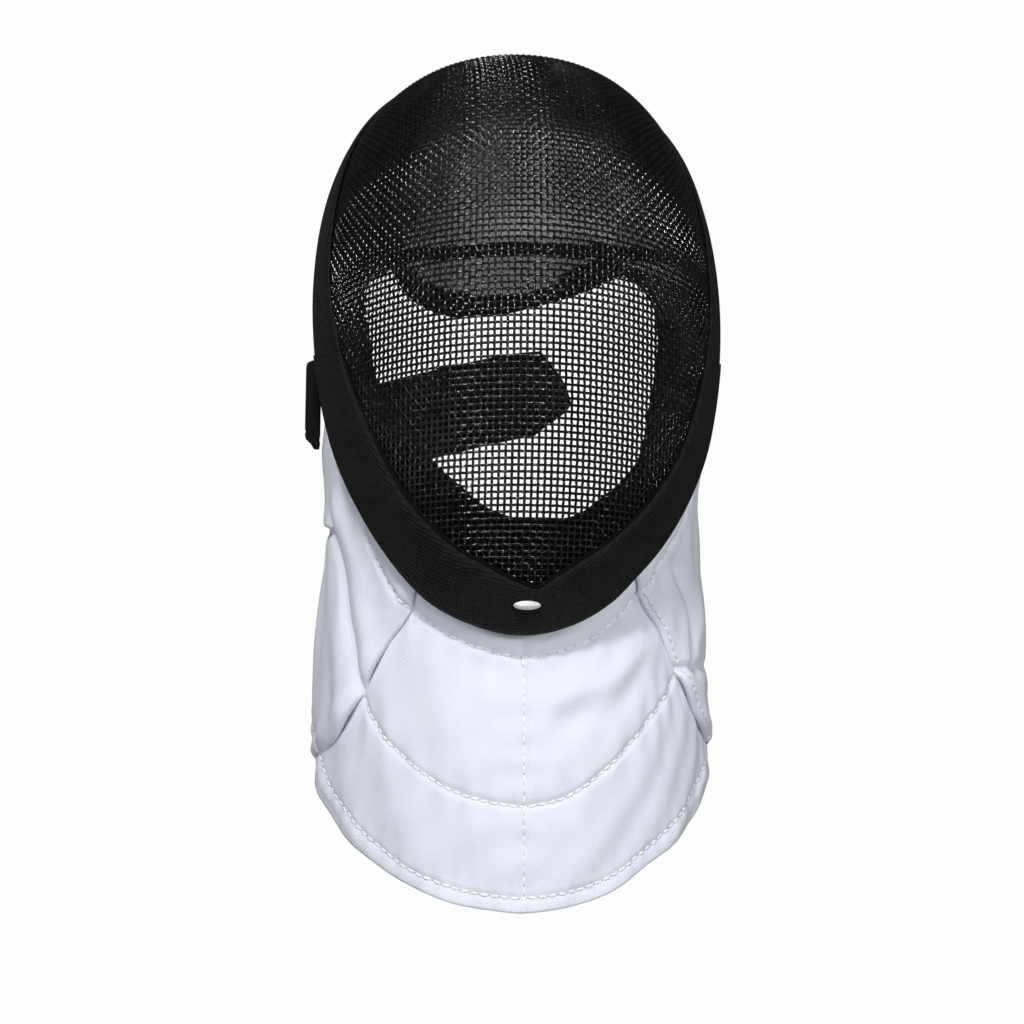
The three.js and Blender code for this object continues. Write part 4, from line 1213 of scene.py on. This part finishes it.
# ---------------------------------------------------------------------- stud
def stud():
    at = from_rim(np.array([180.0]), np.array([12.6]), np.array([5.0]))[0]
    above = from_rim(np.array([180.0]), np.array([14.6]), np.array([5.0]))[0]
    up = unit(above - at)
    across = np.array([1.0, 0, 0])
    out = np.cross(across, up)
    at = np.array([0.5, at[1], at[2]])
    prof = [(1.0, -0.95), (1.04, -0.7), (1.05, -0.35), (1.0, -0.05), (0.94, 0.12), (0.86, 0.42), (0.74, 0.78), (0.58, 1.06),
            (0.4, 1.24), (0.2, 1.33), (0.05, 1.35)]
    th = np.linspace(0, 2 * math.pi, 64, endpoint=False)
    ring = np.array([[at + across * r * 5.9 * math.cos(t) + up * r * 2.15 * math.sin(t) + out * h for t in th] for r, h in prof])
    tidy(make("stud_button", ring, facing_out(ring, grid_quads(len(prof), 64, closed=True), True), None, [STUD]), "chin_stud")


stud()

# ---------------------------------------------------------------------- light and stage
scene = bpy.context.scene
scene.view_settings.view_transform = "Standard"
scene.view_settings.look = "None"
world = bpy.data.worlds.new("studio")
scene.world = world
world.use_nodes = True
wt = world.node_tree
wt.nodes.clear()
path = wt.nodes.new("ShaderNodeLightPath")
seen = wt.nodes.new("ShaderNodeBackground")
lit = wt.nodes.new("ShaderNodeBackground")
both = wt.nodes.new("ShaderNodeMixShader")
wout = wt.nodes.new("ShaderNodeOutputWorld")
seen.inputs["Color"].default_value = (0.984, 0.984, 0.99, 1)
seen.inputs["Strength"].default_value = 1.0
lit.inputs["Color"].default_value = (0.95, 0.97, 1.0, 1)
lit.inputs["Strength"].default_value = 0.04
wt.links.new(path.outputs["Is Camera Ray"], both.inputs[0])
wt.links.new(lit.outputs[0], both.inputs[1])
wt.links.new(seen.outputs[0], both.inputs[2])
wt.links.new(both.outputs[0], wout.inputs[0])


def softbox(name, at, aim, size, watts, glossy=True, colour=(1, 1, 1)):
    d = bpy.data.lights.new(name, "AREA")
    d.shape = "RECTANGLE"
    d.size, d.size_y = size
    d.energy = watts
    d.color = colour
    o = bpy.data.objects.new(name, d)
    scene.collection.objects.link(o)
    o.location = at
    o.rotation_euler = (Vector(aim) - Vector(at)).to_track_quat("-Z", "Y").to_euler()
    o.visible_glossy = glossy      # the fill lights leave no shine on the wires
    return o


MID = (0.0, -0.05, -0.2)
softbox("key_top", (-0.35, -1.0, 0.85), MID, (0.18, 0.18), 12.4)
softbox("back_fill", (-0.7, 1.3, 0.35), MID, (0.6, 0.6), 5.0, False)
softbox("key_front", (0.3, -1.5, 0.0), MID, (0.3, 0.3), 3.4, False)
softbox("side_left", (-1.1, -0.5, 0.1), MID, (0.1, 0.7), 1.4, False)
softbox("spark_left", (-0.85, -0.95, 0.1), MID, (0.07, 0.07), 1.9)
softbox("side_right", (1.1, -0.5, 0.2), MID, (0.1, 0.7), 3.6, False)
softbox("spark_right", (0.8, -1.1, 0.05), MID, (0.07, 0.07), 2.3)
softbox("front_low", (0.0, -1.4, -0.75), MID, (0.7, 0.3), 2.0, False)
softbox("spark_low", (-0.1, -1.3, -0.6), MID, (0.08, 0.08), 1.7)

fl = bpy.data.meshes.new("floor")
R, n = 2.0, 96
fl.from_pydata([(R * math.cos(2 * math.pi * i / n), R * math.sin(2 * math.pi * i / n), -1.45) for i in range(n)], [], [list(range(n))])
floor = bpy.data.objects.new("floor", fl)
scene.collection.objects.link(floor)
fm = Nodes("pale_floor")
g = fm.noise(fm.obj(), 6.0, 2.0, 0.5)
fm.set(Base_Color=fm.mixc(g, (0.86, 0.86, 0.865), (0.9, 0.9, 0.9)), Roughness=fm.range(g, 0.3, 0.7, 0.75, 0.9))
fm.bsdf.inputs["Emission Color"].default_value = (0.9, 0.9, 0.905, 1.0)
fm.bsdf.inputs["Emission Strength"].default_value = 0.72
fl.materials.append(fm.mat)
floor.visible_diffuse = floor.visible_glossy = False
